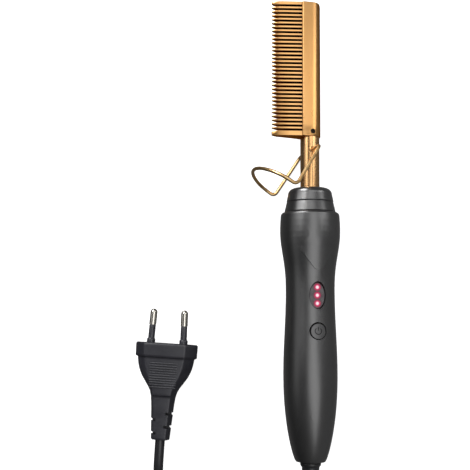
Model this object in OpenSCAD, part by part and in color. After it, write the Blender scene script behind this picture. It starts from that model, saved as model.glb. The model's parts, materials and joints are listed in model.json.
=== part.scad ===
// Electric hot comb with a round handle, a toothed metal comb head, a wire stand
// that folds on the neck tube, a swivelling mains cord and a two-pin plug.
// It lies on its back on a table: +Z up, +Y towards the comb's tip, teeth towards -X.
// Every piece of the comb is drawn along its own axis (Y) and then laid down by lay().

/* [Comb head] */
// Length of the comb head along the axis
comb_len = 76; // [74:0.5:90]
// Distance from the axis to the tips of the teeth
comb_reach = 22; // [20:0.5:26]
// Half thickness of the round spine
spine_half = 5.9; // [5.7:0.1:7]
// Half thickness of the teeth where they leave the spine
tooth_half = 5; // [4:0.1:5.4]
// Half thickness of the teeth where the pointed tips begin
tip_half = 2.6; // [1.5:0.1:3.5]
// Distance from the axis to the bottom of the slots
slot_root = 6; // [5.8:0.1:8]
// Number of slots
slot_count = 33; // [20:1:33]
// Spacing of the slots
slot_pitch = 2.2; // [1.9:0.05:2.2]
// Width of a slot
slot_w = 0.95; // [0.6:0.05:1.2]
// Solid plate below the first slot, to the slot's centre
slot_start = 3.2; // [3:0.1:5]
// Length of the pointed tips
tip_len = 3.6; // [2:0.1:5]
// Corner radius at the top of the spine
comb_corner = 2.6; // [1:0.1:4]

/* [Neck tube] */
// Outside radius of the neck tube
tube_r = 5.3; // [5:0.1:5.6]
// Wall of the neck tube
tube_wall = 0.7; // [0.5:0.05:0.8]
// Length of tube that shows between collar and comb
tube_show = 28.7; // [24:0.1:36]
// Outside radius of the stepped-down end inside the comb
spigot_r = 4.3; // [4:0.1:4.5]
// Length of the stepped-down end
spigot_len = 12; // [8:0.5:14]

/* [Wire stand] */
// Wire diameter
wire_d = 2; // [1.6:0.1:2.4]
// Distance of the stand's hinge below the comb
hinge_drop = 7.6; // [6:0.1:10]
// Half width of the stand at the hinge
pivot_half = 17.5; // [16:0.1:19]
// Half width of the stand at its knees
knee_half = 22; // [21:0.1:24]
// Length of the legs
leg_len = 26.8; // [25:0.1:28]
// Reach of the foot bow beyond the legs
foot_reach = 20.6; // [19:0.1:22]
// Angle between the legs and the handle as stored
stand_angle = 32.3; // [28:0.1:40]
// Bend radius at the hinge corners
corner_bend = 3; // [2:0.1:5]
// Bend radius at the knees
knee_bend = 2.5; // [2:0.1:3.5]

/* [Handle] */
// Length of the two handle shells
shell_len = 134; // [132:0.5:140]
// Radius at the cord end
end_r = 8; // [7.6:0.1:9]
// Radius of the palm swell
palm_r = 14.7; // [14:0.1:16]
// Distance of the palm swell from the cord end
palm_p = 46; // [42:0.5:50]
// Radius of the waist
waist_r = 13.35; // [13:0.05:14]
// Distance of the waist below the shells' upper edge
waist_drop = 43; // [41:0.5:45]
// Radius of the bulb below the collar
bulb_r = 16.5; // [16:0.1:18]
// Distance of the bulb's widest point below the shells' upper edge
bulb_drop = 10.5; // [9:0.5:12]
// Wall of the shells
shell_wall = 2; // [1.6:0.1:2.4]
// Distance of the raised tongue's lowest point below the shells' upper edge
tongue_drop = 32; // [30:0.5:34]
// Radius of the tongue's surface at that point
tongue_r = 14.6; // [14.3:0.1:15]

/* [Collar] */
// Height of the collar ring
ring_h = 5.8; // [4:0.1:7]
// Height of the collar cap
cap_h = 7.7; // [6:0.1:9]
// Radius of the collar at its base
collar_r = 14.1; // [13.5:0.1:14.2]
// Radius of the collar where the cap begins
groove_r = 12.95; // [12.5:0.05:13.4]
// Radius of the cap's flat top
cap_top_r = 8.4; // [8:0.1:10]
// Radius of the heat-proof bush inside the collar
bush_r = 9.5; // [8.5:0.1:10.5]

/* [Display and button] */
// Distance of the display's centre below the shells' upper edge
display_drop = 45.6; // [44:0.1:48]
// Width of the display window
display_w = 9.1; // [8:0.1:9.6]
// Length of the display window
display_len = 14.8; // [14:0.1:17]
// Spacing of the three indicator lights
led_pitch = 4.3; // [4:0.05:4.5]
// Radius of an indicator light
led_r = 1.4; // [1:0.1:1.6]
// Distance of the power button's centre below the shells' upper edge
button_drop = 64.5; // [63:0.1:68]
// Radius of the power button
button_r = 4.4; // [4:0.1:4.8]
// Gap round the power button
button_gap = 0.3; // [0.2:0.05:0.4]
// Travel of the power button
button_travel = 0.5; // [0.3:0.05:0.6]

/* [Circuit board] */
// Width of the board
board_w = 15; // [13:0.5:16]
// Thickness of the board
board_t = 1.6; // [1:0.1:1.8]
// Height of the board's component side over the axis
board_top = 6; // [5.6:0.1:6.2]
// Length of the board
board_len = 62; // [60:0.5:66]
// Distance of the board's upper end below the shells' upper edge
board_drop = 18; // [17.5:0.5:18.5]

/* [Cord swivel] */
// Length of the cord boot below the handle
boot_len = 28; // [24:0.5:34]
// Radius of the boot's rounded collar
boot_collar_r = 5.6; // [5.2:0.1:5.8]
// Radius of the boot below its collar
boot_r = 4.75; // [4.4:0.05:5]
// Radius of the boot's free end
boot_tip_r = 3.7; // [3.4:0.1:4]
// Radius of the swivel spindle
spindle_r = 4.58; // [4.4:0.02:4.7]
// Running clearance of the spindle in its bearing, on the radius
spindle_gap = 0.07; // [0.03:0.01:0.1]

/* [Cord] */
// Cord diameter
cord_d = 5.4; // [5:0.1:6]
// Clear gap between turns of the coil
coil_gap = 0.45; // [0.45:0.05:1]
// Radius of the coil's innermost turn
coil_in_r = 20.6; // [20:0.1:26]
// Turns in each of the two layers
coil_turns = 4; // [2:1:5]
// Thickness of the coil's tie
tie_t = 0.8; // [0.5:0.1:1.2]

/* [Plug] */
// Width of the plug's head
plug_w = 35.3; // [34:0.1:37]
// Thickness of the plug's head
plug_t = 13.7; // [13:0.1:14.5]
// Length of the plug's body without the strain relief
plug_len = 36; // [34:0.5:40]
// Length of the plug's strain relief
relief_len = 17; // [12:0.5:18]
// Pin radius
pin_r = 2; // [1.9:0.05:2.4]
// Distance of the pins at the plug's face
pin_base_gap = 18.6; // [17:0.1:19]
// Distance of the pins at their tips
pin_tip_gap = 17.5; // [17:0.1:18.6]
// Length of a pin
pin_len = 19; // [18:0.1:20]
// Length of the insulated part of a pin
sleeve_len = 10; // [8:0.5:11]

/* [Hidden] */

gold = "#dfa968";
charcoal = "#3a3a3c";
black = "#232326";
brass = "#c9a24b";
steel = "#b9bcc0";
ceramic = "#e8e4da";
lead_red = "#a33b32";

seat = 0.05;                 // fitting clearance between pieces that slide together
fine = 64;                   // facets of a small round
smooth = 96;                 // facets of a large round
big = 200;                   // larger than the part, for cutting tools

// Places along the axis
ring_p = shell_len;                              // foot of the collar ring
cap_p = ring_p + ring_h;                         // foot of the collar cap
cap_top = cap_p + cap_h;                         // top of the collar cap
comb_base = cap_top + tube_show;                 // foot of the comb head
comb_top = comb_base + comb_len;
hinge_p = comb_base - hinge_drop;
bulb_p = shell_len - bulb_drop;
tongue_p = shell_len - tongue_drop;
waist_p = shell_len - waist_drop;
display_p = shell_len - display_drop;
button_p = shell_len - button_drop;
board_hi = shell_len - board_drop;
board_lo = board_hi - board_len;
wire_r = wire_d / 2;

// ---- outline of the handle: its radius at each place ----
shoulder_drop = 0.5;               // fall from the bulb to the shells' upper edge

function ease(t) = (1 - cos(180 * t)) / 2;
function handle_r(p) =
    p < palm_p ? end_r + (palm_r - end_r) * sin(90 * pow(p / palm_p, 0.75)) :
    p < waist_p ? palm_r - (palm_r - waist_r) * ease((p - palm_p) / (waist_p - palm_p)) :
    p < bulb_p ? waist_r + (bulb_r - waist_r) * ease(pow((p - waist_p) / (bulb_p - waist_p), 1.25)) :
    bulb_r - shoulder_drop * pow((p - bulb_p) / (shell_len - bulb_p), 2);

// ---- path of the stand's wire ----
// Its path is worked out in its own directions: down the leg, out along the foot, across.
splay = atan((knee_half - pivot_half) / leg_len);
corner_cut = corner_bend * tan((90 - splay) / 2);
leg_end = leg_len - knee_bend * cos(splay);
// two arcs make each half of the foot's bow: a tighter one by the knee, a wider one at the tip
bow_deep = foot_reach - knee_bend;
bow_skew = (knee_half - bow_deep) / (sqrt(2) - 1);
bow_near_r = (bow_deep + knee_half - bow_skew) / 2;
bow_far_r = (bow_deep + knee_half + bow_skew) / 2;
near_end = [knee_bend + bow_near_r * sqrt(0.5), knee_half - bow_near_r * (1 - sqrt(0.5))];

rod_half = pivot_half - corner_cut;          // half length of the straight hinge rod
rod_end = [[0, 0, rod_half - 1], [0, 0, rod_half]];
// half of the bent wire, from the end of the hinge rod to near the middle of the bow
stand_half = concat(
    [for (i = [1 : 6]) let (t = (90 - splay) * i / 6)
        [corner_bend * (1 - cos(t)), 0, rod_half + corner_bend * sin(t)]],
    [for (i = [0 : 5]) let (t = 90 * i / 5)
        [leg_end + knee_bend * sin(t) * cos(splay), knee_bend * (1 - cos(t)),
            pivot_half + leg_end * tan(splay) + knee_bend * sin(t) * sin(splay)]],
    [for (i = [1 : 8]) let (t = 45 * i / 8)
        [leg_len, knee_bend + bow_near_r * sin(t), knee_half - bow_near_r * (1 - cos(t))]],
    [for (i = [1 : 7]) let (t = 45 + 45 * i / 8)
        [leg_len, near_end.x + bow_far_r * (sin(t) - sqrt(0.5)),
            near_end.y - bow_far_r * (sqrt(0.5) - cos(t))]]);
bow_tip = [leg_len, foot_reach, 0];
leg_dir = [-sin(stand_angle), -cos(stand_angle), 0];
foot_dir = [-cos(stand_angle), sin(stand_angle), 0];
half_path = concat(rod_end, stand_half);
stand_path = [for (q = concat(half_path, [bow_tip],
        [for (i = [len(half_path) - 1 : -1 : 0]) [half_path[i].x, half_path[i].y, -half_path[i].z]]))
    [0, hinge_p, 0] + q.x * leg_dir + q.y * foot_dir + [0, 0, q.z]];

// ---- how the comb lies on the table ----
// tilt: both swells of the handle rest on the table
lie_tilt = asin((bulb_r - palm_r) / (bulb_p - palm_p));
axis_z = max([for (p = [0 : 0.5 : shell_len]) handle_r(p) * cos(lie_tilt) - p * sin(lie_tilt)]);
// roll: so does the stand's rear knee
knee = [0, hinge_p, -knee_half] + leg_len * leg_dir + knee_bend / 8 * (foot_dir - leg_dir);
knee_lift = (axis_z + knee.y * sin(lie_tilt) - wire_r) / cos(lie_tilt);
lie_roll = acos(knee_lift / norm([knee.x, knee.z])) - atan2(-knee.x, -knee.z);
// origin: centre of the comb's own box, on the table
reach_left = wire_r - min([for (q = stand_path) rolled(q).x]);
lie_x = (reach_left - bulb_r) / 2;
lie_y = (boot_len - comb_top) / 2 * cos(lie_tilt);

module lay() {
    translate([lie_x, lie_y, axis_z]) rotate([lie_tilt, 0, 0]) rotate([0, lie_roll, 0]) children();
}

function rolled(v) = [v.x * cos(lie_roll) + v.z * sin(lie_roll), v.y,
    v.z * cos(lie_roll) - v.x * sin(lie_roll)];
function tilted(v) = [v.x, v.y * cos(lie_tilt) - v.z * sin(lie_tilt),
    v.y * sin(lie_tilt) + v.z * cos(lie_tilt)];
function laid(v) = [lie_x, lie_y, axis_z] + tilted(rolled(v));

// ---- helpers for pieces drawn along the axis ----
// turns an outline of [radius, place] points round the axis
module turned(outline, facets = smooth) {
    rotate([-90, 0, 0]) rotate_extrude($fn = facets) polygon(outline);
}

// round bar along the axis from one place to another
module bar(p0, p1, r, x = 0, z = 0, facets = fine) {
    translate([x, p0, z]) rotate([-90, 0, 0]) cylinder(r = r, h = p1 - p0, $fn = facets);
}

// ring along the axis
module ring(p0, p1, r_in, r_out, facets = fine) {
    turned([[r_in, p0], [r_out, p0], [r_out, p1], [r_in, p1]], facets);
}

// round post that stands up along Z
module post(x, p, z0, z1, r, facets = fine) {
    translate([x, p, z0]) cylinder(r = r, h = z1 - z0, $fn = facets);
}

// block centred on x, from one place to another and between two heights
module block(w, p0, p1, z0, z1, x = 0) {
    translate([x - w / 2, p0, z0]) cube([w, p1 - p0, z1 - z0]);
}

// upright ellipse, as the display window has
module oval(w, len, p, z0, z1) {
    translate([0, p, z0]) linear_extrude(height = z1 - z0)
        polygon([for (a = [0 : 6 : 354]) [w / 2 * cos(a), len / 2 * sin(a)]]);
}

function unit(v) = v / norm(v);
function square_to(h, side) = unit(side - (side * h) * h);
function sides_along(heads, side, i = 0) = i == len(heads) ? [] :
    let (s = square_to(heads[i], side)) concat([s], sides_along(heads, s, i + 1));

// tube through points, with flat ends square to its first and last stretch; each ring
// starts on the side nearest to the one before it, so that the tube doesn't twist
module tube(pts, r, sides, side = [1, 0, 0]) {
    n = len(pts);
    steps = [for (i = [0 : n - 2]) unit(pts[i + 1] - pts[i])];
    heads = [for (i = [0 : n - 1]) unit(steps[max(i - 1, 0)] + steps[min(i, n - 2)])];
    starts = sides_along(heads, side);
    rings = [for (i = [0 : n - 1], k = [0 : sides - 1]) let (a = 360 * (k + 0.5) / sides)
        pts[i] + r * (cos(a) * starts[i] + sin(a) * cross(starts[i], heads[i]))];
    walls = [for (i = [0 : n - 2], k = [0 : sides - 1])
        let (a = i * sides + k, b = i * sides + (k + 1) % sides)
            each [[a, b, b + sides], [a, b + sides, a + sides]]];
    foot = [for (k = [1 : sides - 2]) [0, k + 1, k]];
    head = [for (k = [1 : sides - 2]) [0, k, k + 1] + (n - 1) * sides * [1, 1, 1]];
    polyhedron(points = rings, faces = concat(walls, foot, head));
}

// insulated lead inside the handle
module lead(points, r) {
    tube(points, r, 8);
}

// ---- comb head ----
bore_r = spigot_r + seat;          // heater bore, which also takes the tube's end
bore_end = comb_top - 6;           // blind end of the heater bore
shoulder = 0.5;                    // step between the spine's face and the teeth
tip_edge = 0.6;                    // half thickness at the very tip
tip_rib = 0.3;                     // half width of a tooth at the very tip
screw_up = 2.6;                    // height of the set screw above the comb's foot
screw_r = 1.4;

function comb_section() = [[0, spine_half], [shoulder - slot_root, spine_half],
    [-slot_root, tooth_half], [tip_len - comb_reach, tip_half], [-comb_reach, tip_edge],
    [-comb_reach, -tip_edge], [tip_len - comb_reach, -tip_half], [-slot_root, -tooth_half],
    [shoulder - slot_root, -spine_half], [0, -spine_half]];

// the comb's outline seen from the front, with the rounded corner over the spine
module comb_front() {
    top_y = comb_top - comb_corner;
    translate([-comb_reach - 1, comb_base]) square([comb_reach + 1 + spine_half, top_y - comb_base]);
    translate([-comb_reach - 1, top_y])
        square([comb_reach + 1 + spine_half - comb_corner, comb_corner]);
    translate([spine_half - comb_corner, top_y]) circle(r = comb_corner, $fn = fine);
}

// one slot: straight between the teeth and flared at the tips
module slot() {
    half = slot_w / 2;
    mouth = slot_pitch / 2 - tip_rib;
    linear_extrude(height = 3 * spine_half, center = true)
        polygon([[-slot_root, half], [tip_len - comb_reach, half], [-comb_reach, mouth],
            [-comb_reach - 1, mouth], [-comb_reach - 1, -mouth], [-comb_reach, -mouth],
            [tip_len - comb_reach, -half], [-slot_root, -half]]);
}

module comb_head() {
    color(gold) lay() difference() {
        intersection() {
            union() {
                translate([0, comb_top, 0]) rotate([90, 0, 0])
                    linear_extrude(height = comb_len) polygon(comb_section());
                bar(comb_base, comb_top, spine_half, facets = smooth);
            }
            linear_extrude(height = 3 * spine_half, center = true) comb_front();
        }
        for (i = [0 : slot_count - 1])
            translate([0, comb_base + slot_start + i * slot_pitch, 0]) slot();
        bar(comb_base - 1, bore_end, bore_r);
        post(0, comb_base + screw_up, 0, spine_half + 1, screw_r + seat / 2);
    }
}

module comb_screw() {
    head_z = spine_half - 0.2;
    color("#4a3a28") lay() difference() {
        post(0, comb_base + screw_up, spigot_r, head_z, screw_r);
        post(0, comb_base + screw_up, head_z - 0.8, head_z + 1, screw_r / 2, 6);
    }
}

// ---- neck tube and its fixings ----
tube_foot = shell_len - 10;        // lower end of the tube, inside the handle
hinge_hole_r = wire_r + 0.08;      // running clearance of the stand's wire
bush_foot = shell_len - 7;
neck_foot = shell_len - 5;         // underside of the shells' neck wall
flange_r = bush_r + 2;

module neck_tube() {
    step_p = comb_base;
    bore = tube_r - tube_wall;
    end_bore = spigot_r - tube_wall;
    color(gold) lay() difference() {
        turned([[bore, tube_foot], [tube_r, tube_foot], [tube_r, step_p], [spigot_r, step_p],
            [spigot_r, step_p + spigot_len], [end_bore, step_p + spigot_len],
            [end_bore, step_p - 1.5], [bore, step_p - 3]], fine);
        post(0, hinge_p, -tube_r - 1, tube_r + 1, hinge_hole_r);
    }
}

module nose_bush() {
    color("#5a4a3c") lay()
        turned([[tube_r + seat, bush_foot], [flange_r, bush_foot], [flange_r, neck_foot],
            [bush_r, neck_foot], [bush_r, cap_p], [tube_r + seat, cap_p]]);
}

module retaining_ring() {
    color(steel) lay() ring(bush_foot - 1.3, bush_foot, tube_r + 0.01, tube_r + 2.4);
}

// ---- collar ----
groove = 0.4;                      // chamfers that make the collar's two grooves

module collar_ring() {
    color(charcoal) lay()
        turned([[bush_r + seat, ring_p], [collar_r - groove, ring_p], [collar_r, ring_p + groove],
            [groove_r, cap_p - groove], [groove_r - groove, cap_p], [bush_r + seat, cap_p]]);
}

module collar_cap() {
    crown = 3.4;                   // height of the rounded top edge
    edge_r = groove_r - 0.8;       // radius where the rounding begins
    color(charcoal) lay()
        turned(concat([[tube_r + 0.15, cap_p], [groove_r - groove, cap_p], [groove_r, cap_p + groove]],
            [for (a = [0 : 15 : 90]) [cap_top_r + (edge_r - cap_top_r) * cos(a),
                cap_top - crown + crown * sin(a)]],
            [[tube_r + 0.15, cap_top]]));
}

// ---- wire stand ----
module stand_wire() {
    color(gold) lay() {
        post(0, hinge_p, -rod_half, rod_half, wire_r);
        tube(stand_path, wire_r - 0.01, 16);
    }
}

// ---- heater inside the comb ----
heater_lo = comb_base + spigot_len + 2;
plate_count = 3;
plate_len = 14;
plate_gap = 1;
heater_hi = heater_lo + plate_count * (plate_len + plate_gap) - plate_gap;
sleeve_wall = 0.3;
stack_w = 7.2;
plate_t = 2;
foil_t = 0.4;
lead_x = 2.6;                      // the two heater leads pass either side of the stand's wire
lead_r = 0.8;
sensor_x = 1.7;
sensor_z = 2.3;
sensor_r = 0.3;
fuse_lo = cap_top + 2.5;           // thermal fuse, in the right-hand lead
fuse_len = 9;

module heater_sleeve() {
    color("#b8860b") lay() ring(heater_lo - 1, heater_hi + 1, spigot_r - sleeve_wall, spigot_r);
}

module ptc_plates() {
    color(ceramic) lay() for (i = [0 : plate_count - 1]) {
        p = heater_lo + i * (plate_len + plate_gap);
        block(stack_w, p, p + plate_len, -plate_t / 2, plate_t / 2);
    }
}

module electrodes() {
    color(steel) lay() for (s = [-1, 1])
        block(stack_w, heater_lo, heater_hi, min(s * plate_t / 2, s * (plate_t / 2 + foil_t)),
            max(s * plate_t / 2, s * (plate_t / 2 + foil_t)));
}

module thermistor() {
    bead = 3;
    color("#303030") lay() {
        bar(heater_hi, heater_hi + bead, sensor_z + sensor_r);
        for (s = [-1, 1])
            lead([[s * sensor_x, heater_hi, sensor_z], [s * sensor_x, tube_foot - 2, sensor_z],
                [s * sensor_x, board_hi - 0.7, board_top - board_t - 1],
                [s * sensor_x, board_hi - 0.7, board_top - board_t]], sensor_r);
    }
}

module thermal_fuse() {
    color(steel) lay() bar(fuse_lo, fuse_lo + fuse_len, 1.5, x = lead_x);
}

module heater_leads() {
    pad_p = board_hi - 5;
    pad_x = board_w / 2 - 2.5;
    color(lead_red) lay() {
        lead([[-lead_x, heater_lo, 0], [-lead_x, tube_foot - 1, 0], [-pad_x, pad_p, 1],
            [-pad_x, pad_p, board_top - board_t]], lead_r);
        lead([[lead_x, fuse_lo, 0], [lead_x, tube_foot - 1, 0], [pad_x, pad_p, 1],
            [pad_x, pad_p, board_top - board_t]], lead_r);
        bar(fuse_lo + fuse_len, heater_lo, lead_r, x = lead_x);
    }
}

// ---- handle shells ----
shoulder_round = 1.9;              // rounding of the shells' upper edge
cavity_lo = 17;
cavity_hi = neck_foot;
steps = 52;                        // cone faces along the handle

// places along the handle, closer together at the cord end
function place(i, lo, hi) = lo + (hi - lo) * pow(i / steps, 1.25);

module handle_solid() {
    edge = shell_len - shoulder_round;
    turned(concat([[0, 0]],
        [for (i = [0 : steps]) let (p = place(i, 0, edge)) [handle_r(p), p]],
        [for (a = [15 : 15 : 90]) [handle_r(edge) - shoulder_round * (1 - cos(a)),
            edge + shoulder_round * sin(a)]],
        [[0, shell_len]]));
}

module handle_cavity() {
    turned(concat([[0, cavity_lo]],
        [for (i = [0 : steps / 2]) let (p = place(2 * i, cavity_lo, cavity_hi))
            [handle_r(p) - shell_wall, p]],
        [[0, cavity_hi]]));
}

// openings at both ends of the shells: bush seat, bearing seat and swivel chamber
module end_bores() {
    bar(neck_foot - 1, shell_len + 1, bush_r + seat);
    turned([[0, -1], [mouth_r, -1], [mouth_r, bearing_lo], [bearing_r + seat, bearing_lo],
        [bearing_r + seat, collar_lo], [bearing_collar_r + seat, collar_lo],
        [bearing_collar_r + seat, collar_hi + seat], [bearing_r + seat, collar_hi + seat],
        [bearing_r + seat, bearing_hi], [chamber_r, bearing_hi], [chamber_r, cavity_lo + 1],
        [0, cavity_lo + 1]], fine);
}

// the raised tongue on the bulb's front, pointed and rounded at its lower end
module tongue() {
    round_r = 3.2;
    flank = 54;                    // slope of the tongue's sides
    rise = 14;
    top_p = bulb_p - 3;
    outline = concat(
        [for (a = [270 - flank : 12 : 270 + flank]) [round_r * cos(a), tongue_p + round_r * (1 + sin(a))]],
        [for (s = [1, -1]) [s * (round_r * sin(flank) + rise * cos(flank)),
            tongue_p + round_r * (1 - cos(flank)) + rise * sin(flank)]]);
    intersection() {
        turned([[0, tongue_p - 2], [tongue_r, tongue_p - 2], [tongue_r, tongue_p],
            [handle_r(top_p) - 0.02, top_p], [0, top_p]]);
        linear_extrude(height = big) polygon(outline);
    }
}

module half_space(side) {
    translate([-big / 2, -big / 4, side > 0 ? 0 : -big]) cube([big, 2 * big, big]);
}

// ---- screws that hold the shells together ----
screw_x = 9;                       // the upper two screws stand either side of the neck
screw_p = bulb_p - 2.5;
screw_low_p = 25;
screw_at = [[-screw_x, screw_p], [screw_x, screw_p], [0, screw_low_p]];
shell_screw_r = 1.3;
shell_head_r = 2.3;
shell_head_h = 1.8;
boss_r = 3.7;
head_seat = -5;                    // height of the screw heads' seats
screw_tip = 7;
cross_slot = [0.6, 2.4, 1.6];      // one of the two crossed slots in a screw's head

module shell_bosses(z0, z1) {
    intersection() {
        handle_solid();
        for (s = screw_at) post(s.x, s.y, z0, z1, boss_r);
    }
}

module shell_screws() {
    color(steel) lay() for (s = screw_at) difference() {
        union() {
            post(s.x, s.y, head_seat, screw_tip, shell_screw_r);
            post(s.x, s.y, head_seat - shell_head_h, head_seat, shell_head_r);
        }
        for (turn = [0, 90]) translate([s.x, s.y, head_seat - shell_head_h]) rotate([0, 0, turn])
            cube(cross_slot, center = true);
    }
}

// ---- display ----
lens_top = waist_r - 0.95;
lens_step = waist_r - 3.35;        // top of the lens's hidden rim
lens_foot = lens_step - 1;

module front_shell() {
    color(charcoal) lay() difference() {
        union() {
            intersection() {
                difference() {
                    handle_solid();
                    handle_cavity();
                }
                half_space(1);
            }
            difference() {
                tongue();
                handle_cavity();
            }
            shell_bosses(0, big);
        }
        end_bores();
        oval(display_w, display_len, display_p, lens_step - 1, big);
        post(0, button_p, 0, big, button_r + button_gap);
        for (s = screw_at) post(s.x, s.y, -1, screw_tip + 0.5, shell_screw_r + seat / 2);
    }
}

module rear_shell() {
    color(charcoal) lay() difference() {
        union() {
            intersection() {
                difference() {
                    handle_solid();
                    handle_cavity();
                }
                half_space(-1);
            }
            shell_bosses(-big, 0);
            intersection() {
                handle_solid();
                for (p = board_post_p) post(0, p, -big, board_top - board_t, board_post_r);
            }
        }
        end_bores();
        for (s = screw_at) {
            post(s.x, s.y, -big, 1, shell_screw_r + seat);
            post(s.x, s.y, -big, head_seat, shell_head_r + 0.2);
        }
        for (p = board_post_p) post(0, p, board_screw_tip - 0.5, board_top, board_screw_r + seat / 2);
    }
}

module display_lens() {
    color("#8f9294") lay() {
        oval(display_w - 0.2, display_len - 0.2, display_p, lens_step, lens_top);
        oval(display_w + 1.4, display_len + 1.4, display_p, lens_foot, lens_step);
    }
}

module leds() {
    dome = 0.8;
    color("#ff7f9c") lay() for (i = [-1 : 1]) {
        p = display_p + i * led_pitch;
        post(0, p, board_top, lens_foot - dome - led_r / 2, led_r);
        translate([0, p, lens_foot - dome - led_r / 2]) intersection() {
            sphere(r = led_r, $fn = 32);
            cylinder(r = led_r, h = led_r, $fn = 32);
        }
    }
}

module led_shield() {
    color(black) lay() difference() {
        block(display_w + 1, display_p - display_len / 2, display_p + display_len / 2, board_top, lens_foot);
        for (i = [-1 : 1]) post(0, display_p + i * led_pitch, board_top - 1, lens_foot + 1, led_r + 0.3);
    }
}

// ---- power button and its switch ----
lip_r = button_r + 1.1;
lip_top = sqrt(pow(handle_r(button_p) - shell_wall, 2) - pow(lip_r, 2)) - 0.35;
lip_t = 0.8;
switch_top = lip_top - lip_t - button_travel - 0.5;
switch_w = 6;
plunger_r = 1.7;
plunger_sink = 1;                  // depth of the plunger in its switch at rest

module power_button() {
    color("#4b4b4e") lay() union() {
        intersection() {
            handle_solid();
            post(0, button_p, lip_top, big, button_r);
        }
        post(0, button_p, lip_top - lip_t, lip_top, lip_r);
    }
}

module switch_plunger() {
    color(black) lay() post(0, button_p, switch_top - plunger_sink, lip_top - lip_t, plunger_r);
}

module tact_switch() {
    color("#555a60") lay() difference() {
        block(switch_w, button_p - switch_w / 2, button_p + switch_w / 2, board_top, switch_top);
        post(0, button_p, switch_top - plunger_sink - button_travel - 0.1, switch_top + 1,
            plunger_r + seat);
    }
}

// ---- circuit board ----
board_post_in = 4;                 // distance of the posts from the board's ends
board_post_p = [board_lo + board_post_in, board_hi - board_post_in];
board_post_r = 2.6;
board_screw_r = 1.1;
board_head_r = 2.1;
board_head_h = 1.3;
board_screw_tip = -3;
under = board_top - board_t;       // underside of the board

// width, length and height of the components, and their places above the board's lower end
chip_size = [5, 5, 1.5];
chip_up = 47;
capacitor_size = [12, 10, 6];
capacitor_up = 12;
triac_size = [9, 6, 4];
triac_up = 38;
resistor_r = 1.8;
resistor_len = 10;
resistor_up = 30;
resistor_off = 0.6;                // gap between the resistor and the board
resistor_lead_x = 4;
resistor_lead_r = 0.5;

module circuit_board() {
    color("#2f6b3c") lay() difference() {
        block(board_w, board_lo, board_hi, under, board_top);
        for (p = board_post_p) post(0, p, under - 1, board_top + 1, board_screw_r + 0.1);
    }
}

module board_screws() {
    color(steel) lay() for (p = board_post_p) {
        post(0, p, board_screw_tip, board_top, board_screw_r);
        post(0, p, board_top, board_top + board_head_h, board_head_r);
    }
}

module controller_chip() {
    color(black) lay() block(chip_size.x, board_lo + chip_up, board_lo + chip_up + chip_size.y,
        board_top, board_top + chip_size.z);
}

module below_board(size, up) {
    block(size.x, board_lo + up, board_lo + up + size.y, under - size.z, under);
}

module capacitor() {
    color("#a8842c") lay() below_board(capacitor_size, capacitor_up);
}

module triac() {
    color(black) lay() below_board(triac_size, triac_up);
}

module fuse_resistor() {
    p = board_lo + resistor_up;
    z = under - resistor_r - resistor_off;
    color("#3f7fa8") lay() {
        translate([-resistor_len / 2, p, z]) rotate([0, 90, 0])
            cylinder(r = resistor_r, h = resistor_len, $fn = fine);
        for (s = [-1, 1]) post(s * resistor_lead_x, p, z, under, resistor_lead_r, 24);
    }
}

// ---- swivel of the cord ----
mouth_r = boot_collar_r + 0.2;     // opening in the handle's end
bearing_lo = 1.6;
bearing_hi = 7.6;
bearing_r = 6.6;
bearing_collar_r = 7.4;
collar_lo = 3.2;
collar_hi = 5.2;
spindle_flange_r = 7.2;
spindle_flange_t = 1.6;
chamber_r = 8;
stem_r = 3.4;
stem_hi = cavity_lo - 0.5;
slip_r = 4.6;
slip_w = 1.8;
slip_p = [10.4, 13.8];
brush_top = slip_r + 0.06;
holder_z = -6;
holder_w = 9;
holder_hi = stem_hi - 0.1;
boot_gap = 0.3;                    // gap between the boot's collar and the handle's end

module swivel_bearing() {
    bore = spindle_r + spindle_gap;
    color("#d8d4c8") lay()
        turned([[bore, bearing_lo], [bearing_r, bearing_lo], [bearing_r, collar_lo],
            [bearing_collar_r, collar_lo], [bearing_collar_r, collar_hi], [bearing_r, collar_hi],
            [bearing_r, bearing_hi], [bore, bearing_hi]], fine);
}

module swivel_boot() {
    collar_h = 2.6;
    groove_count = 5;
    groove_w = 1.4;
    groove_d = 0.7;
    groove_pitch = 3.6;
    function taper(p) = boot_r + (boot_tip_r - boot_r) * (-p - collar_h) / (boot_len - collar_h);
    color(black) lay() difference() {
        turned(concat([[0, -boot_len], [boot_tip_r, -boot_len], [taper(-collar_h - 0.6), -collar_h - 0.6]],
            [for (a = [-60 : 20 : 60]) [boot_collar_r - 0.9 + 0.9 * cos(a),
                -boot_gap - 1.1 + 1.1 * sin(a) / sin(60)]],
            [[spindle_r, -boot_gap], [spindle_r, bearing_hi + 0.1], [spindle_flange_r, bearing_hi + 0.1],
            [spindle_flange_r, bearing_hi + 0.1 + spindle_flange_t],
            [stem_r, bearing_hi + 0.1 + spindle_flange_t], [stem_r, stem_hi], [0, stem_hi]]), fine);
        for (i = [1 : groove_count]) {
            p = -boot_len + 1 + i * groove_pitch;
            turned([[taper(p) - groove_d, p], [boot_r + 1, p], [boot_r + 1, p + groove_w],
                [taper(p) - groove_d, p + groove_w]], fine);
        }
    }
}

module slip_rings() {
    color(brass) lay() for (p = slip_p) ring(p, p + slip_w, stem_r + 0.01, slip_r);
}

module brush_holder() {
    lo = slip_p[0] - 0.5;
    color("#6f5b4a") lay() intersection() {
        bar(lo, holder_hi, chamber_r - seat);
        block(holder_w, lo, holder_hi, -chamber_r, holder_z);
    }
}

module brushes() {
    color(brass) lay() for (p = slip_p) block(2.4, p + 0.1, p + slip_w - 0.1, holder_z, -brush_top);
}

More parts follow.
